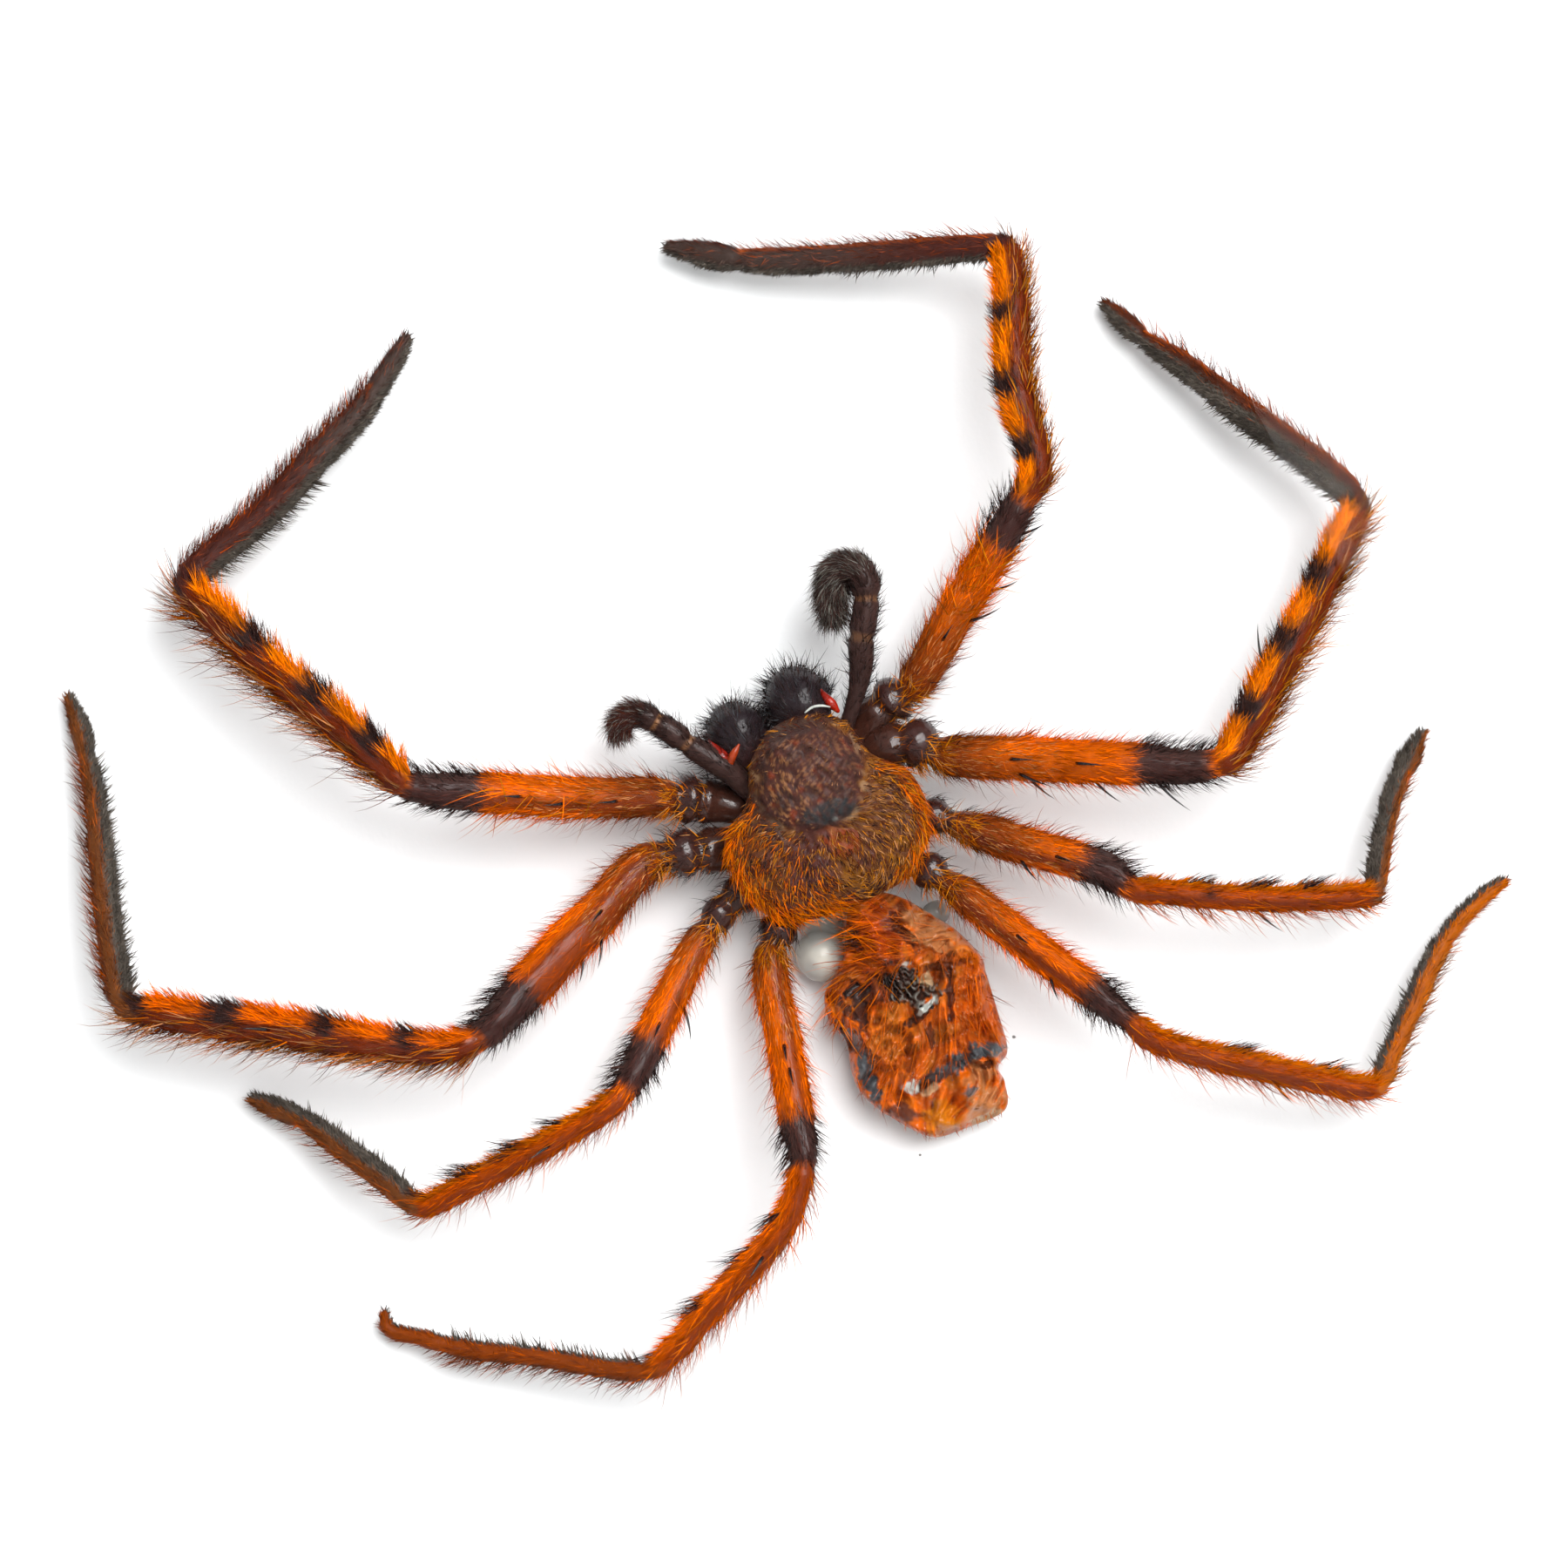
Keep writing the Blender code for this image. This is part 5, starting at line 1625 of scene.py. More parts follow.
class Mound:
    """A rounded body inside an outline in plan, which looks much the same from its middle."""

    name: str
    slot: str
    middle: Pair
    outline: tuple[Pair, ...]
    patches: tuple[Patch, ...]
    underside: tuple[Pair, ...]
    rows: int
    steps: int
    seed: int
    shine: float
    crowding: float

    def __post_init__(self) -> None:
        """Rounds the outline and draws the surface's unevenness."""
        self.rng = np.random.default_rng(self.seed)
        self.coarse = Ripple(self.seed, 2.0, axes=2)
        self.medium = Ripple(self.seed + 1, 0.8, axes=2)
        self.fine = Ripple(self.seed + 2, 0.3, axes=2)
        self.rim = self._rounded(self.steps)
        off = self.rim - np.array(self.middle)
        turns = np.arctan2(off[:, 1], off[:, 0])
        order = np.argsort(turns)
        self.turns = turns[order]
        self.reaches = np.linalg.norm(off, axis=1)[order]

    def _rounded(self, steps: int) -> Array:
        """Puts a smooth closed curve through the outline's points.

        Args:
            steps: how many points it has for each of the outline's.

        Returns:
            The curve's points.
        """
        start = np.array(self.outline)
        before, end, after = np.roll(start, 1, axis=0), np.roll(start, -1, axis=0), np.roll(start, -2, axis=0)
        rows = []
        for t in np.arange(steps) / steps:
            pull = (end - before) * t + (2 * before - 5 * start + 4 * end - after) * t**2
            pull = pull + (3 * start - before - 3 * end + after) * t**3
            rows.append(start + pull / 2)
        return np.stack(rows, axis=1).reshape(-1, 2)

    def size_at(self, spots: Array) -> Array:
        """Says how far out each spot lies, where 1 is the rim.

        Args:
            spots: places in plan.

        Returns:
            A size for each.
        """
        off = spots - np.array(self.middle)
        reach = np.interp(np.arctan2(off[:, 1], off[:, 0]), self.turns, self.reaches, period=2 * math.pi)
        return np.linalg.norm(off, axis=1) / reach

    def height(self, spots: Array) -> Array:
        """Gives the height of the upper side at each spot."""
        raise NotImplementedError

    def paint(self, spots: Array) -> Array:
        """Gives the skin's colour at each spot."""
        raise NotImplementedError

    def flow(self, spots: Array) -> Array:
        """Gives the way that hair is combed at each spot, in plan."""
        raise NotImplementedError

    def add_hair(self, bundle: Bundle) -> None:
        """Grows all the body's hair."""
        raise NotImplementedError

    def build(self, materials: Materials) -> Piece:
        """Makes the whole body.

        Args:
            materials: the spider's finishes.

        Returns:
            The piece, which replaces its CAD node.
        """
        bundle = Bundle()
        self.add_shell(bundle)
        self.add_hair(bundle)
        return dressed(bundle, self.name, materials)

    def add_shell(self, bundle: Bundle) -> None:
        """Adds the closed body, with its upper rings closer together near the rim.

        Args:
            bundle: what it is added to.
        """
        middle = np.array(self.middle)
        sides = len(self.rim)
        rows = []
        tints = []
        # The rings under the rim take half the top's colour: painted shade under the body
        for size, lift in self.underside:
            spots = middle + (self.rim - middle) * size
            rows.append(np.column_stack((spots, np.full(sides, lift))))
            tints.append(self.paint(spots) * 0.5)
        for size in 1.0 - np.linspace(0.0, 1.0, self.rows, endpoint=False) ** self.crowding:
            spots = middle + (self.rim - middle) * size
            rows.append(np.column_stack((spots, self.height(spots))))
            tints.append(self.paint(spots))
        top = middle[None]
        points = np.vstack((
            np.column_stack((top, ((self.underside[0][1],),))), *rows,
            np.column_stack((top, self.height(top))),
        ))
        colours = np.vstack((self.paint(top), *tints, self.paint(top)))
        faces, maps = ring_faces(len(rows), sides, False)
        bundle.add(points, colours, np.full(len(points), self.shine), faces, maps, Part.SKIN)

    def scatter(self, density: float, low: float = 0.0, high: float = 0.985) -> Array:
        """Scatters spots evenly between two sizes of the outline.

        Args:
            density: how many there are in a square millimetre.
            low: the least size.
            high: the greatest size.

        Returns:
            The spots in plan.
        """
        least, most = self.rim.min(axis=0), self.rim.max(axis=0)
        count = int(np.prod(most - least) * density)
        spots = self.rng.uniform(least, most, (count, 2))
        size = self.size_at(spots)
        return spots[(size > low) & (size < high)]

    def grow(self, bundle: Bundle, spots: Array, pelt: Pelt) -> None:
        """Grows hair from spots on the body.

        Args:
            bundle: what it is added to.
            spots: the roots in plan.
            pelt: what the hair is like.
        """
        rng = self.rng
        count = len(spots)
        heights = self.height(spots)
        step = 0.05
        slope_x = (self.height(spots + (step, 0.0)) - heights) / step
        slope_y = (self.height(spots + (0.0, step)) - heights) / step
        normals = unit(np.column_stack((-slope_x, -slope_y, np.ones(count))))
        flow = np.column_stack((self.flow(spots), np.zeros(count)))
        flow = unit(flow - normals * (flow * normals).sum(axis=1, keepdims=True))
        flow = turned(flow, normals, rng.normal(0, pelt.stray, count))
        tilt = np.radians(np.clip(rng.normal(pelt.lean, 8.0, count), 1.0, 85.0))[:, None]
        aim = flow * np.cos(tilt) + normals * np.sin(tilt)
        sides = turned(unit(np.cross(aim, normals) + 1e-6), aim, rng.normal(0, PELT_ROLL, count))
        off = (spots - self.middle) / self.reaches.max() * 0.23
        skin = self.paint(spots)
        tints = skin + (pick(rng, count, pelt.tints) - skin) * pelt.share
        curls = (flow * 0.4 - normals) * pelt.curl + rng.normal(0, 1, (count, 3)) * pelt.wild
        bundle.add_strands(Strands(
            roots=np.column_stack((spots, heights)) - normals * ROOT_DEPTH,
            ways=aim, curls=curls, sides=sides, lengths=pelt.length * rng.uniform(0.6, 1.3, count),
            widths=pelt.width * rng.uniform(0.7, 1.2, count), tints=tints,
            places=off + np.array((0.25, 0.75)), shades=np.clip(rng.normal(0.5, 0.25, count), 0, 1),
        ), pelt.joints)


@dataclass
class Carapace(Mound):
    """The front body: an egg-shaped shell with a raised head region and a pit in its middle."""

    name: str = "carapace"
    slot: str = "carapace_brown"
    middle: Pair = (-0.2, 0.3)
    outline: tuple[Pair, ...] = (
        (4.9, 1.1), (4.15, 1.9), (3.5, 2.7), (3.3, 3.7), (2.95, 4.7), (2.2, 5.4), (1.1, 5.8), (-0.4, 5.85),
        (-1.5, 5.3), (-2.4, 4.5), (-2.95, 3.4), (-3.6, 2.6), (-4.6, 2.1), (-5.3, 1.1), (-5.45, -0.5),
        (-5.2, -1.8), (-4.5, -3), (-3.5, -3.7), (-2.2, -4), (-0.9, -4.1), (0.5, -4.1), (1.9, -4.1),
        (3, -3.8), (4, -3.1), (4.7, -2.3), (5.1, -1.2), (5.15, 0),
    )
    patches: tuple[Patch, ...] = tuple(Patch(*row) for row in (
        (0, -0.8, 1.1, 0.8, -20, Tint.RUST, 0.6), (-1.7, -1.3, 2.2, 1, 63, Tint.PLUM, 0.95),
        (-2.9, 2, 2, 0.6, 100, Tint.SOOT, 0.7), (0.5, 5.5, 2.6, 0.6, -8, Tint.SOOT, 0.85),
        (0.6, -3, 1.6, 0.6, -5, Tint.OCHRE, 0.2), (0.6, -4.1, 1.7, 0.9, 0, Tint.SOOT, 0.9),
    ))
    underside: tuple[Pair, ...] = (
        (0.3, 1.5), (0.42, 1.55), (0.5, 1.9), (0.55, 2.7), (0.6, 3.3), (0.72, 3.85), (0.9, 4.15),
        (0.98, 4.35),
    )
    rim_lift: float = 4.5
    dome: float = 1.85
    head: Pair = (0.15, 2.8)
    head_half: Pair = (2.95, 3.0)
    head_rise: float = 0.85
    pit: Pair = (0.3, 0.5)
    waist: Pair = (0.7, -4.6)
    rows: int = 60
    steps: int = 8
    seed: int = 31
    shine: float = 0.03
    crowding: float = 1.5

    def _head_size(self, spots: Array) -> Array:
        """Says how far out each spot lies on the head, where 1 is its edge."""
        uneven = self.medium.at(spots) * 0.05
        return np.linalg.norm((spots - self.head) / self.head_half, axis=1) + uneven

    def _streaks(self, spots: Array) -> Array:
        """Gives fine unevenness drawn out along the hair, from -1 to 1.

        Args:
            spots: places in plan.

        Returns:
            A number for each.
        """
        from_pit = spots - self.pit
        turn = np.arctan2(from_pit[:, 1], from_pit[:, 0])
        away = np.linalg.norm(from_pit, axis=1)
        bent = turn + 0.25 * np.sin(turn * 2 + 0.6) + away * 0.05
        return self.fine.at(np.column_stack((bent * 1.6, away * 0.12)))

    def height(self, spots: Array) -> Array:
        """Gives the height of the upper side at each spot.

        Args:
            spots: places in plan.

        Returns:
            A height for each, in millimetres.
        """
        size = np.minimum(self.size_at(spots), 1.0)
        fade = np.minimum(1.0, (1.0 - size) * 6.0)
        head = ease((1.08 - self._head_size(spots)) / 0.45)
        away = np.linalg.norm(spots - self.pit, axis=1)
        relief = self.head_rise * head - 0.3 * np.exp(-((away / 0.8) ** 2))
        relief = relief + 0.09 * self.coarse.at(spots) + 0.035 * self.medium.at(spots) * (1 + head)
        relief = relief + 0.012 * self._streaks(spots) * (1 - head) + 0.02 * self.fine.at(spots)
        brow = 0.35 * ease((spots[:, 1] - 3.0) / 2.0)
        return self.rim_lift + brow + self.dome * np.sqrt(np.maximum(1.0 - size**2.6, 0.0)) + fade * relief

    def paint(self, spots: Array) -> Array:
        """Gives the skin's colour at each spot.

        Args:
            spots: places in plan.

        Returns:
            A colour for each.
        """
        uneven = self.medium.at(spots)
        size = self._head_size(spots)
        head = ease((0.98 - size) / 0.12)
        mottle = ease((self.fine.at(spots * (1.1, 1.9)) + 0.6 * uneven - 0.3) * 1.8)
        pit = Patch(0.4, 0.75, 1.5, 0.6, -8, Tint.SLATE).weight(spots, 0.4 * uneven)
        speck = np.linalg.norm(spots - (0.55, 0.3), axis=1)
        behind = ease((2.6 - spots[:, 1]) / 1.2) * ease(np.abs(spots[:, 0] - 0.7) + 0.3 * spots[:, 1] + 0.9)
        return layered(len(spots), (0.095, 0.03, 0.009), [
            (Tint.PLUM, ease(self.coarse.at(spots) * 0.8 + 0.3) * 0.7),
            (Tint.OCHRE, ease(self._streaks(spots) - 0.1) * 0.4),
            ((0.056, 0.021, 0.017), head * 0.95),
            (Tint.TAN, head * mottle * (0.16 + 0.26 * ease(-spots[:, 0] * 0.5 + 0.4))),
            (Tint.RUST, head * ease(self.medium.at(spots + 5.0) - 0.5) * 0.5),
            (Tint.SOOT, head * ease(self.coarse.at(spots * 1.4 + 3.0) * 1.5) * 0.6),
            (Tint.BLACK, head * ease(self.fine.at(spots * 0.9 + 8.0) - 0.2) * 0.5),
            (Tint.BUFF, within(size, 0.95, 1.07, 0.07) * ease(uneven + 0.5) * 0.3),
            *(patch.layer(spots, uneven) for patch in self.patches),
            ((0.024, 0.028, 0.03), pit * (0.7 + 0.2 * self.fine.at(spots))),
            (Tint.ASH, within(speck, -1.0, 0.1, 0.15) * 0.4),
            (Tint.COPPER, within(self.size_at(spots), 0.94, 2.0, 0.1) * 0.6 * behind),
        ])

    def flow(self, spots: Array) -> Array:
        """Gives the way that hair is combed at each spot, in plan.

        Args:
            spots: places in plan.

        Returns:
            A direction for each, of length 1.
        """
        out = unit(spots - self.pit)
        around = np.column_stack((-out[:, 1], out[:, 0]))
        rearward = np.sign((around * (np.array(self.waist) - spots)).sum(axis=1))[:, None] * around
        rim = ease((self.size_at(spots) - 0.5) / 0.4)[:, None]
        flow = out * (0.9 - 0.45 * rim) + rearward * (0.35 + 0.75 * rim)
        swirl = np.column_stack((-(spots - self.head)[:, 1], (spots - self.head)[:, 0]))
        head = ease((1.05 - self._head_size(spots)) / 0.2)[:, None]
        return unit(flow * (1 - head) + (unit(swirl) * 0.7 + np.array((0.1, 0.5))) * head)

    def add_hair(self, bundle: Bundle) -> None:
        """Grows the combed hair and the golden rim.

        Args:
            bundle: what it is added to.
        """
        spots = self.scatter(130.0)
        on_head = self._head_size(spots) < 0.98
        clear = Patch(0.4, 0.75, 1.3, 0.45, -8, Tint.SLATE).weight(spots) < 0.5
        flank = spots[~on_head & clear]
        left = flank[:, 0] < -1.5 - 0.3 * flank[:, 1]
        inner = self.rng.random(len(flank)) > 0.45 + 0.5 * ease((self.size_at(flank) - 0.5) / 0.3)
        brown = blend(OCHRE=2.5, GOLD=2.2, TAN=1.2, UMBER=2.5, BLACK=3)
        dim = blend(UMBER=3, PLUM=2, BLACK=2.5, OCHRE=2, TAN=0.8)
        warm = blend(AMBER=3.5, GOLD=1.5, ORANGE=1, UMBER=2, BLACK=2.5)
        self.grow(bundle, flank[inner], Pelt(0.5, 12, dim, 0.05, 20, 0.05, share=0.85))
        self.grow(bundle, flank[~left & ~inner], Pelt(0.55, 12, brown, 0.05, 20, 0.05, share=0.95))
        self.grow(bundle, flank[left & ~inner], Pelt(0.6, 12, warm, 0.05, 20, 0.05, share=0.95))
        crown = spots[on_head & clear]
        crown = crown[self.rng.random(len(crown)) < 0.2]
        dull = blend(PLUM=2, UMBER=2, BLACK=2, TAN=1.5)
        self.grow(bundle, crown, Pelt(0.34, 12, dull, 0.035, 40, share=0.7))
        bright = blend(AMBER=3, ORANGE=2, GOLD=1, RUST=1.5)
        rim = self.scatter(50.0, 0.84, 0.995)
        rim = rim[(rim[:, 1] < 2.2) & (np.linalg.norm(rim - (0.7, -4.2), axis=1) > 1.8)]
        self.grow(bundle, rim, Pelt(1.05, 20, bright, 0.05, 22, 0.2, 3))
        self.grow(bundle, rim[::4], Pelt(1.3, 28, bright, 0.045, 40, 0.1, 3, wild=0.12))
        ridge = spots[np.abs(self._head_size(spots) - 1.02) < 0.05]
        straw = blend(OCHRE=1.5, TAN=1, UMBER=2)
        self.grow(bundle, ridge[::2], Pelt(0.35, 16, straw, 0.04, 25))
        fringe = self.scatter(60.0, 0.86, 0.99)
        fringe = fringe[fringe[:, 1] > 2.0]
        sooty = blend(SOOT=3, UMBER=1.5, PLUM=2, TAN=0.4)
        self.grow(bundle, fringe, Pelt(0.4, 30, sooty, 0.045, 40))


@dataclass
class Abdomen(Mound):
    """The rear body: a shrivelled sack with a dark crust, a grey band and a torn end."""

    name: str = "abdomen"
    slot: str = "abdomen_skin"
    middle: Pair = (0.2, -11.0)
    outline: tuple[Pair, ...] = (
        (0.9, -4), (-0.5, -4.1), (-1.2, -5), (-1.8, -6.2), (-2.6, -7), (-3.6, -7.7),
        (-3.95, -8.9), (-3.6, -10.4), (-4, -12), (-3.9, -13.4), (-3.1, -14.9), (-1.6, -16.7),
        (0, -17), (2.4, -17), (3, -15.7), (3, -14.8), (3.8, -14.2), (4.1, -12.5),
        (4.4, -10.1), (4.5, -9.2), (3.9, -7.5), (3.1, -6.3), (2.1, -4.9),
    )
    patches: tuple[Patch, ...] = tuple(Patch(*row) for row in (
        (0, -6.3, 1.6, 1.3, 70, Tint.BLOOD, 0.6, 0.3), (0.9, -5.6, 0.5, 0.4, 0, Tint.SLATE, 0.5, -0.1),
        (-1.3, -5.5, 0.6, 0.8, 20, Tint.SOOT, 0.95, -0.3),
        (1.35, -6.4, 1.1, 0.28, -75, Tint.SOOT, 0.85, -0.35),
        (2.8, -7, 1.7, 0.95, -55, Tint.CLAY, 0.8, 0.35), (3.9, -8.7, 0.8, 0.5, -60, Tint.AMBER, 0.6, 0.2),
        (2.6, -8.9, 1.3, 0.25, -10, Tint.UMBER, 0.8, -0.2), (-1, -10.9, 1.5, 1.3, 60, Tint.OCHRE, 0.35),
        (3.3, -12, 1.9, 0.9, 85, Tint.COPPER, 0.45), (-1.3, -8.5, 1.5, 0.75, -10, Tint.SOOT, 0.8, -0.25),
        (-2.1, -8.2, 0.6, 0.6, 0, Tint.BLACK, 0.95, -0.35),
        (-2.3, -9.3, 0.9, 0.4, 70, Tint.SOOT, 0.95, -0.2),
        (-2.9, -8.9, 1, 0.22, 110, Tint.SOOT, 0.8, -0.2),
        (-3.2, -10.7, 1.4, 0.45, 112, Tint.SOOT, 0.9, -0.3),
        (-3.35, -12.5, 1.4, 0.45, 88, Tint.SLATE, 1, -0.3),
        (0.4, -10.6, 0.8, 0.3, 20, Tint.SOOT, 0.9, -0.3),
        (2.2, -10.4, 1.4, 0.18, -112, Tint.SOOT, 0.85, -0.35),
        (0.5, -11.8, 0.7, 0.2, -110, Tint.SOOT, 0.8, -0.25),
        (-0.9, -12.3, 1.1, 0.3, -115, Tint.UMBER, 0.7, -0.2),
        (2.5, -9, 0.9, 0.5, 30, Tint.UMBER, 0.6, -0.25), (0.8, -13.75, 1.5, 0.45, 10, Tint.SLATE, 1, 0.25),
        (2.6, -13.65, 1.2, 0.42, -12, Tint.SLATE, 1, 0.25),
        (-0.5, -14, 0.8, 0.35, 10, Tint.SOOT, 0.9, 0.1),
        (-1.5, -13.85, 0.45, 0.35, 30, Tint.CHALK, 0.95, 0.2),
        (-0.6, -14.35, 0.5, 0.25, 10, Tint.BUFF, 0.8, 0.15),
        (2.1, -14.6, 0.9, 0.55, 10, Tint.CLAY, 0.7, -0.3),
        (1.2, -15.25, 0.4, 0.25, 10, Tint.SLATE, 0.9, -0.1),
        (2.6, -14.4, 0.3, 0.3, 10, Tint.UMBER, 0.9, -0.2), (-0.7, -16, 0.9, 0.9, 20, Tint.GOLD, 0.6, -0.1),
        (1.6, -16.3, 1.2, 0.75, 20, Tint.CLAY, 0.85, -0.1), (1.2, -17.1, 1, 0.35, 5, Tint.BUFF, 0.9, -0.1),
        (-2.4, -14.9, 0.8, 0.4, -40, Tint.PLUM, 0.85, -0.1),
    ))
    crumbs: tuple[Patch, ...] = (
        Patch(1.5, -9.1, 0.45, 0.3, 30, Tint.BUFF, 0.85),
        Patch(0.85, -10.35, 0.7, 0.14, 25, Tint.CHALK, 0.85),
        Patch(1, -8, 0.35, 0.15, -20, Tint.CHALK, 0.85),
    )
    underside: tuple[Pair, ...] = ((0.4, 0.5), (0.7, 0.5), (0.88, 0.6), (0.96, 0.9))
    crust: Patch = Patch(0.55, -9.1, 1.45, 0.9, -55, Tint.BLACK, 0.95, -0.1)
    fan: Pair = (-0.3, -7.9)
    cords: Pair = (0.4067, 0.9135)
    rows: int = 100
    steps: int = 14
    seed: int = 41
    shine: float = 0.25
    crowding: float = 1.3

    def _grain(self, spots: Array) -> Array:
        """Gives fibrous unevenness: across the front lobe, and lengthways behind it.

        Args:
            spots: places in plan.

        Returns:
            A number for each, about -1 to 1.
        """
        along = spots @ np.array(self.cords)
        across = spots @ np.array((self.cords[1], -self.cords[0]))
        bend = 0.4 * self.coarse.at(spots * 0.45 + 7.0) + 0.05 * self.coarse.at(spots * 1.3)
        behind = 1.5 * np.abs(self.medium.at(np.column_stack((across * 1.15 + bend, along * 0.14)))) - 0.5
        behind = behind + 0.4 * self.fine.at(np.column_stack((across * 0.8 + bend, along * 0.1 + 9.0)))
        calm = np.maximum(
            Patch(3.4, -11.6, 2.3, 1.2, 85, Tint.TAN).weight(spots),
            Patch(-1.7, -11.2, 1.8, 1.1, 75, Tint.TAN).weight(spots),
        )
        mottle = 0.6 * self.medium.at(spots * 1.1 + 3.0) + 0.2 * self.fine.at(spots)
        behind = behind * (1 - 0.8 * calm) + mottle * calm
        before = self.medium.at(np.column_stack((along * 1.2 + bend, across * 0.12 + 3.0)))
        before = before * 0.6 + 0.6 * self.fine.at(np.column_stack((along + bend, across * 0.12 + 3.0)))
        front = ease((spots[:, 1] + 8.4) / 1.2)
        return behind * (1 - front) + before * front

    def _pleats(self, spots: Array) -> Array:
        """Gives the crust's pleats, which fan out from one end of it, from -1 to 1.

        Args:
            spots: places in plan.

        Returns:
            A number for each.
        """
        off = spots - self.fan
        turn = np.arctan2(off[:, 1], off[:, 0]) + 0.08 * self.medium.at(spots)
        return np.sin(turn * 26.0 + 1.5 * self.fine.at(spots * 0.6))

    def height(self, spots: Array) -> Array:
        """Gives the height of the upper side at each spot.

        Args:
            spots: places in plan.

        Returns:
            A height for each, in millimetres.
        """
        size = np.minimum(self.size_at(spots), 1.0)
        slope = 1.9 + 0.12 * (spots[:, 1] - self.middle[1])
        dome = 2.0 * np.maximum(1.0 - size**2.2, 0.0) ** 0.28
        fade = np.minimum(1.0, dome)
        uneven = self.medium.at(spots)
        relief = 0.45 * self.coarse.at(spots) + 0.12 * uneven + 0.2 * self._grain(spots)
        for patch in self.patches:
            relief = relief + patch.rise * patch.weight(spots, uneven)
        relief = relief + self.crust.weight(spots, uneven) * (0.1 + 0.22 * self._pleats(spots))
        return np.maximum(slope + dome + fade * relief, 0.35)

    def paint(self, spots: Array) -> Array:
        """Gives the skin's colour at each spot.

        Args:
            spots: places in plan.

        Returns:
            A colour for each.
        """
        grain = self._grain(spots)
        uneven = self.medium.at(spots) + 0.5 * self.fine.at(spots)
        specks = ease((self.fine.at(spots * 1.7) - 0.9) * 3)
        rough = Patch(3.2, -11.8, 2.1, 1.2, 85, Tint.TAN).weight(spots)
        crust = self.crust.weight(spots, uneven)
        far = ease(np.linalg.norm(spots - self.fan, axis=1) / 1.6 - 0.3)
        # The first three layers follow the grain that also shapes the folds: lighter orange on the raised
        # fibres and rust and umber in the furrows, partly the skin's own streaks and partly painted shade in
        # the furrows
        return layered(len(spots), (0.4, 0.074, 0.006), [
            (Tint.ORANGE, ease(grain * 0.9 + 0.1) * 0.65),
            (Tint.RUST, ease(-grain * 1.2 - 0.1) * 0.8),
            (Tint.UMBER, ease((-grain - 0.8) * 2.0) * 0.8),
            (Tint.OCHRE, ease(self.coarse.at(spots * 1.3 + 4.0)) * 0.4),
            (Tint.RUST, rough * 0.4),
            (Tint.TAN, specks * (0.25 + 0.5 * rough)),
            *(patch.layer(spots, uneven) for patch in self.patches),
            (self.crust.tint, crust * self.crust.strength),
            (Tint.ASH, crust * ease(self._pleats(spots)) * (0.15 + 0.6 * far)),
            *(patch.layer(spots, uneven) for patch in self.crumbs),
            (Tint.UMBER, within(self.size_at(spots), 0.95, 9.0, 0.06) * 0.3),
        ])

    def flow(self, spots: Array) -> Array:
        """Gives the way that hair is combed at each spot, in plan.

        Args:
            spots: places in plan.

        Returns:
            A direction for each, of length 1.
        """
        down = -np.array(self.cords)
        left = np.array((-self.cords[1], self.cords[0]))
        lobe = (ease((spots[:, 1] + 8.2) / 1.2) * ease((spots[:, 0] + 3.2) / 1.4))[:, None]
        return unit(down * (1 - lobe) + left * lobe + 0.2 * unit(spots - self.middle))

    def add_hair(self, bundle: Bundle) -> None:
        """Grows the fibres.

        Args:
            bundle: what it is added to.
        """
        hot = blend(ORANGE=1, AMBER=2, COPPER=2, BLOOD=1, RUST=2)
        spots = self.scatter(55.0)
        plain = self.crust.weight(spots)
        for patch in self.patches[10:]:
            plain = np.maximum(plain, patch.weight(spots))
        lobe = (spots[:, 1] > -8.6) & (spots[:, 0] < 1.5)
        side = (spots[:, 0] < -2.6) & (spots[:, 1] > -10.5)
        hairy = spots[(lobe | side) & (plain < 0.4)]
        self.grow(bundle, hairy, Pelt(1.1, 8, hot, 0.045, 14, 0.15, 3, share=0.6, wild=0.03))
        golden = blend(GOLD=2, AMBER=2, ORANGE=2)
        self.grow(bundle, hairy[::7], Pelt(2.2, 16, golden, 0.05, 26, 0.25, 4, wild=0.1))
        bare = spots[~(lobe | side) & (plain < 0.3) & (spots[:, 1] > -14.0)]
        fibres = blend(ORANGE=2, COPPER=2, BLOOD=2, UMBER=1)
        self.grow(bundle, bare[::3], Pelt(1.5, 2, fibres, 0.05, 8, 0.04, 4, share=0.5))
        edge = self.scatter(30.0, 0.93, 0.995)
        self.grow(bundle, edge, Pelt(0.5, 30, hot, 0.04, 35))


@dataclass
class Glue:
    """The dried drops of glue at the rear of the front body."""

    voxel: float = 0.16

    def build(self, material: Material) -> None:
        """Smooths each CAD drop into a rounded one.

        Args:
            material: the glue's finish.
        """
        for node in ("glue_left", "glue_right"):
            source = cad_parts[node]
            piece = bpy.data.objects.new(f"{node}_smooth", source.data.copy())
            bpy.context.scene.collection.objects.link(piece)
            remesh = piece.modifiers.new("Even", "REMESH")
            remesh.mode = "VOXEL"
            remesh.voxel_size = self.voxel * MM
            smooth = piece.modifiers.new("Round", "SMOOTH")
            smooth.factor = 0.6
            smooth.iterations = 6
            graph = bpy.context.evaluated_depsgraph_get()
            mesh = bpy.data.meshes.new_from_object(piece.evaluated_get(graph))
            piece.modifiers.clear()
            piece.data = mesh
            mesh.materials.clear()
            mesh.materials.append(material)
            mesh.shade_smooth()
            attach(piece, BODY)
            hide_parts(node)
            LOG.info("%s: %d faces", piece.name, len(mesh.polygons))


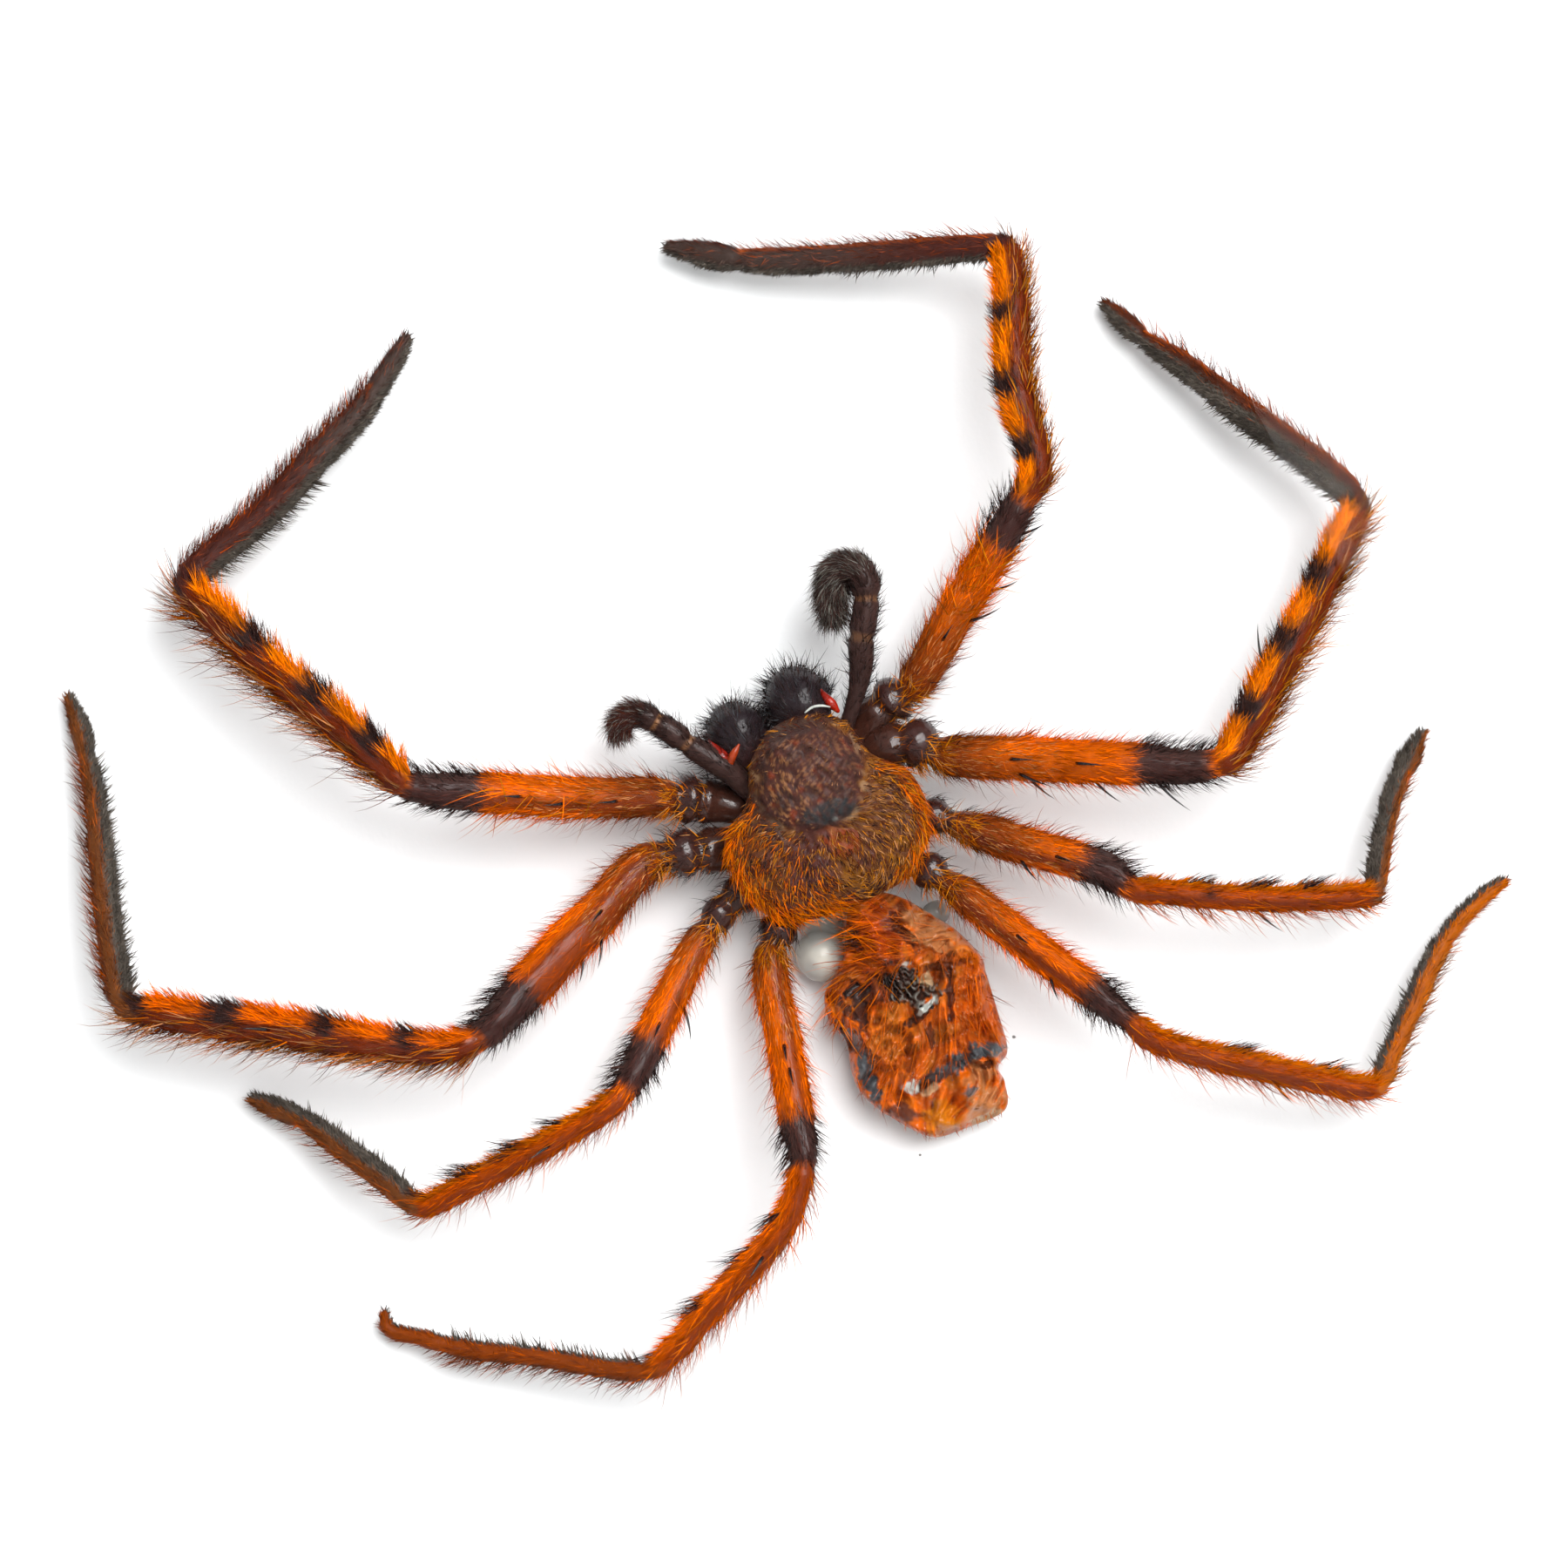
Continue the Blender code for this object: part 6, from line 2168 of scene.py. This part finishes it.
@dataclass
class BoxFrame:
    """The box frame: CAD pieces that keep their shape and get their finishes."""

    specks: tuple[Triple, ...] = ((0.0, 69.6, 0.09), (6.9, 73.2, 0.11))

    def dress(self) -> None:
        """Gives every piece of the frame its finish."""
        level = WoodFinish("stained_wood_level", 0).material()
        upright = WoodFinish("stained_wood_upright", 2).material()
        foam = PaperFinish("spacer_board", (0.86, 0.87, 0.87), 0.02, 900.0).material()
        steel = SteelFinish().material()
        card = PaperFinish("white_card", (0.9, 0.91, 0.915), 0.012, 2600.0, self.specks).material()
        finishes = {
            "glass_pane": GlassFinish().material(),
            "mount_card": card,
            "back_panel": BoardFinish().material(),
            "hanger_plate": steel,
            "hanger_pin_left": steel,
            "hanger_pin_right": steel,
        }
        for side in ("top", "bottom", "left", "right"):
            finishes[f"frame_rail_{side}"] = level if side in ("top", "bottom") else upright
            finishes[f"spacer_{side}"] = foam
            finishes[f"retainer_{side}"] = steel
        for node, material in finishes.items():
            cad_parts[node].data.materials.clear()
            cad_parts[node].data.materials.append(material)
            LOG.info("%s: %s", node, material.name)


@dataclass
class Studio:
    """The plain floor, the soft lights and the camera."""

    floor_size: float = 2.4
    camera_away: float = 360.0
    view_width: float = 81.0
    roll: float = 24.0
    camera_right: float = 1.36
    camera_up: float = 89.97
    sensor: float = 36.0
    key_place: Triple = (0.52, -1.05, 0.34)
    key_power: float = 28.5
    key_size: float = 0.9
    world: float = 0.56

    def build(self) -> None:
        """Sets up the whole studio."""
        self._floor()
        self._light()
        self._world()
        self._camera()

    def _floor(self) -> None:
        """Makes the floor under the frame."""
        mesh = bpy.data.meshes.new("floor")
        shape = bmesh.new()
        bmesh.ops.create_grid(shape, x_segments=1, y_segments=1, size=self.floor_size / 2)
        shape.to_mesh(mesh)
        shape.free()
        mesh.materials.append(FloorFinish().material())
        floor = bpy.data.objects.new("floor", mesh)
        bpy.context.scene.collection.objects.link(floor)

    def _light(self) -> None:
        """Hangs the one square soft light, which faces the spider."""
        data = bpy.data.lights.new("key", "AREA")
        data.size = self.key_size
        data.energy = self.key_power
        light = bpy.data.objects.new("key", data)
        light.location = self.key_place
        target = Vector((0.0, 0.0, SPIDER_UP * MM))
        light.rotation_euler = (target - light.location).to_track_quat("-Z", "Y").to_euler()
        bpy.context.scene.collection.objects.link(light)

    def _world(self) -> None:
        """Sets the even light that comes from all round."""
        world = bpy.data.worlds.new("studio")
        world.use_nodes = True
        background = world.node_tree.nodes["Background"]
        background.inputs["Color"].default_value = (0.97, 0.985, 1.0, 1.0)
        background.inputs["Strength"].default_value = self.world
        bpy.context.scene.world = world

    def _camera(self) -> None:
        """Sets the camera straight before the card, rolled as in the photo."""
        data = bpy.data.cameras.new("camera")
        data.sensor_width = self.sensor
        data.lens = self.sensor * self.camera_away / self.view_width
        data.clip_start = 0.01
        camera = bpy.data.objects.new("camera", data)
        card_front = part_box("mount_card")[0].y
        place = Vector((self.camera_right * MM, card_front - self.camera_away * MM, self.camera_up * MM))
        facing = Matrix(((1, 0, 0), (0, 0, -1), (0, 1, 0))).to_4x4()
        rolled = Matrix.Rotation(math.radians(-self.roll), 4, "Z")
        camera.matrix_world = Matrix.Translation(place) @ facing @ rolled
        bpy.context.scene.collection.objects.link(camera)
        bpy.context.scene.camera = camera
        bpy.context.scene.view_settings.view_transform = "Standard"


def palps() -> list[Feeler]:
    """Lists the two palps.

    Returns:
        The palps, ready to be built.
    """
    grey = blend(BLACK=3, DUSK=2, ASH=1.5, MOSS=3, SOOT=2)
    brown = blend(SOOT=2, PLUM=2, ASH=0.8, UMBER=1)
    return [
        Feeler("palp_right", Side.RIGHT, (
            (2.6, 4, 3.2, 0.8), (3.8, 5.3, 3.8, 0.85), (4.8, 6.7, 4.3, 1.3), (5.4, 8, 4.8, 1.5),
            (6.05, 9, 5, 1.4), (6.6, 10.1, 5.1, 1.5), (6.8, 11, 5.1, 1.75), (6.45, 11.65, 5, 1.85),
            (5.85, 11.8, 4.8, 1.85), (5.35, 11.5, 4.6, 1.85), (5, 10.85, 4.4, 1.75),
            (4.7, 10.15, 4.1, 1.45), (4.45, 9.4, 3.8, 0.8),
        ), (3.25, 4.9), 6.3, grey, 21),
        Feeler("palp_left", Side.LEFT, (
            (-2.8, 3.2, 3.6, 1.2), (-3.6, 5, 4.3, 1.4), (-4.6, 6.5, 4.5, 1.3), (-5.2, 7.6, 4.6, 1.35),
            (-5.8, 8.5, 4.7, 1.3), (-6.4, 9.2, 4.7, 1.35), (-7.1, 9.4, 4.6, 1.4), (-7.7, 9.1, 4.4, 1.25),
            (-7.8, 8.5, 4.2, 0.7),
        ), (2.4, 4.0), 4.9, brown, 22),
    ]


def jaws() -> list[Jaw]:
    """Lists the two jaws.

    Returns:
        The jaws, ready to be built.
    """
    return [
        Jaw("chelicera_right", Side.RIGHT, (
            (1.2, 4.5, 2.5, 2.2), (1.2, 5.3, 2.9, 2.9), (1.2, 6.1, 3.5, 3.5), (1.2, 6.8, 3.4, 3.5),
            (1.2, 7.2, 2.7, 2.8), (1.2, 7.1, 2.1, 1.3), (1, 6.6, 1.8, 0.5), (0.7, 6.2, 1.6, 0.2),
        ), (
            Fold((
                (2.5, 6.7, 4.3, 0.06), (2.6, 6.2, 4.5, 0.4), (2.75, 5.7, 4.55, 0.55), (2.9, 5.2, 4.4, 0.2),
            ), Tint.SCARLET),
            # A pale chalk strip along the glossy edge: a painted highlight, not a fold of skin
            Fold((
                (1.3, 5.85, 5, 0.08), (1.75, 5.95, 5.05, 0.15), (2.2, 5.85, 5, 0.14), (2.6, 5.6, 4.8, 0.08),
            ), Tint.CHALK),
        ), 23),
        Jaw("chelicera_left", Side.LEFT, (
            (-2.2, 4, 2.4, 2), (-2.3, 4.9, 2.7, 2.6), (-2.3, 5.8, 3.2, 3.2), (-2.3, 6.5, 3.1, 3.2),
            (-2.3, 6.9, 2.5, 2.6), (-2.3, 6.8, 2, 1.2), (-2, 6.3, 1.7, 0.5), (-1.7, 5.9, 1.5, 0.2),
        ), (
            Fold((
                (-3.75, 6.6, 3.9, 0.1), (-3.65, 6.1, 4.3, 0.5), (-3.45, 5.5, 4.55, 0.75),
                (-3.3, 4.9, 4.4, 0.3),
            ), Tint.SCARLET),
            Fold((
                (-2.4, 5.75, 4.85, 0.1), (-2.75, 5.5, 4.85, 0.4), (-3.1, 5.2, 4.7, 0.45),
                (-3.3, 4.8, 4.5, 0.2),
            ), Tint.BLOOD),
        ), 24),
    ]


def main() -> None:
    """Builds and dresses every piece, then the studio."""
    logging.basicConfig(level=logging.INFO, format="%(message)s")
    BoxFrame().dress()
    finishes = (SkinFinish(), HairFinish(), HornFinish(), GlossFinish())
    materials = [finish.material() for finish in finishes]
    for leg in leg_plans():
        leg.build(materials)
    for palp in palps():
        palp.build(materials)
    for jaw in jaws():
        jaw.build(materials)
    Carapace().build(materials)
    Abdomen().build(materials)
    Glue().build(GlueFinish().material())
    Studio().build()


if __name__ == "__main__":
    main()
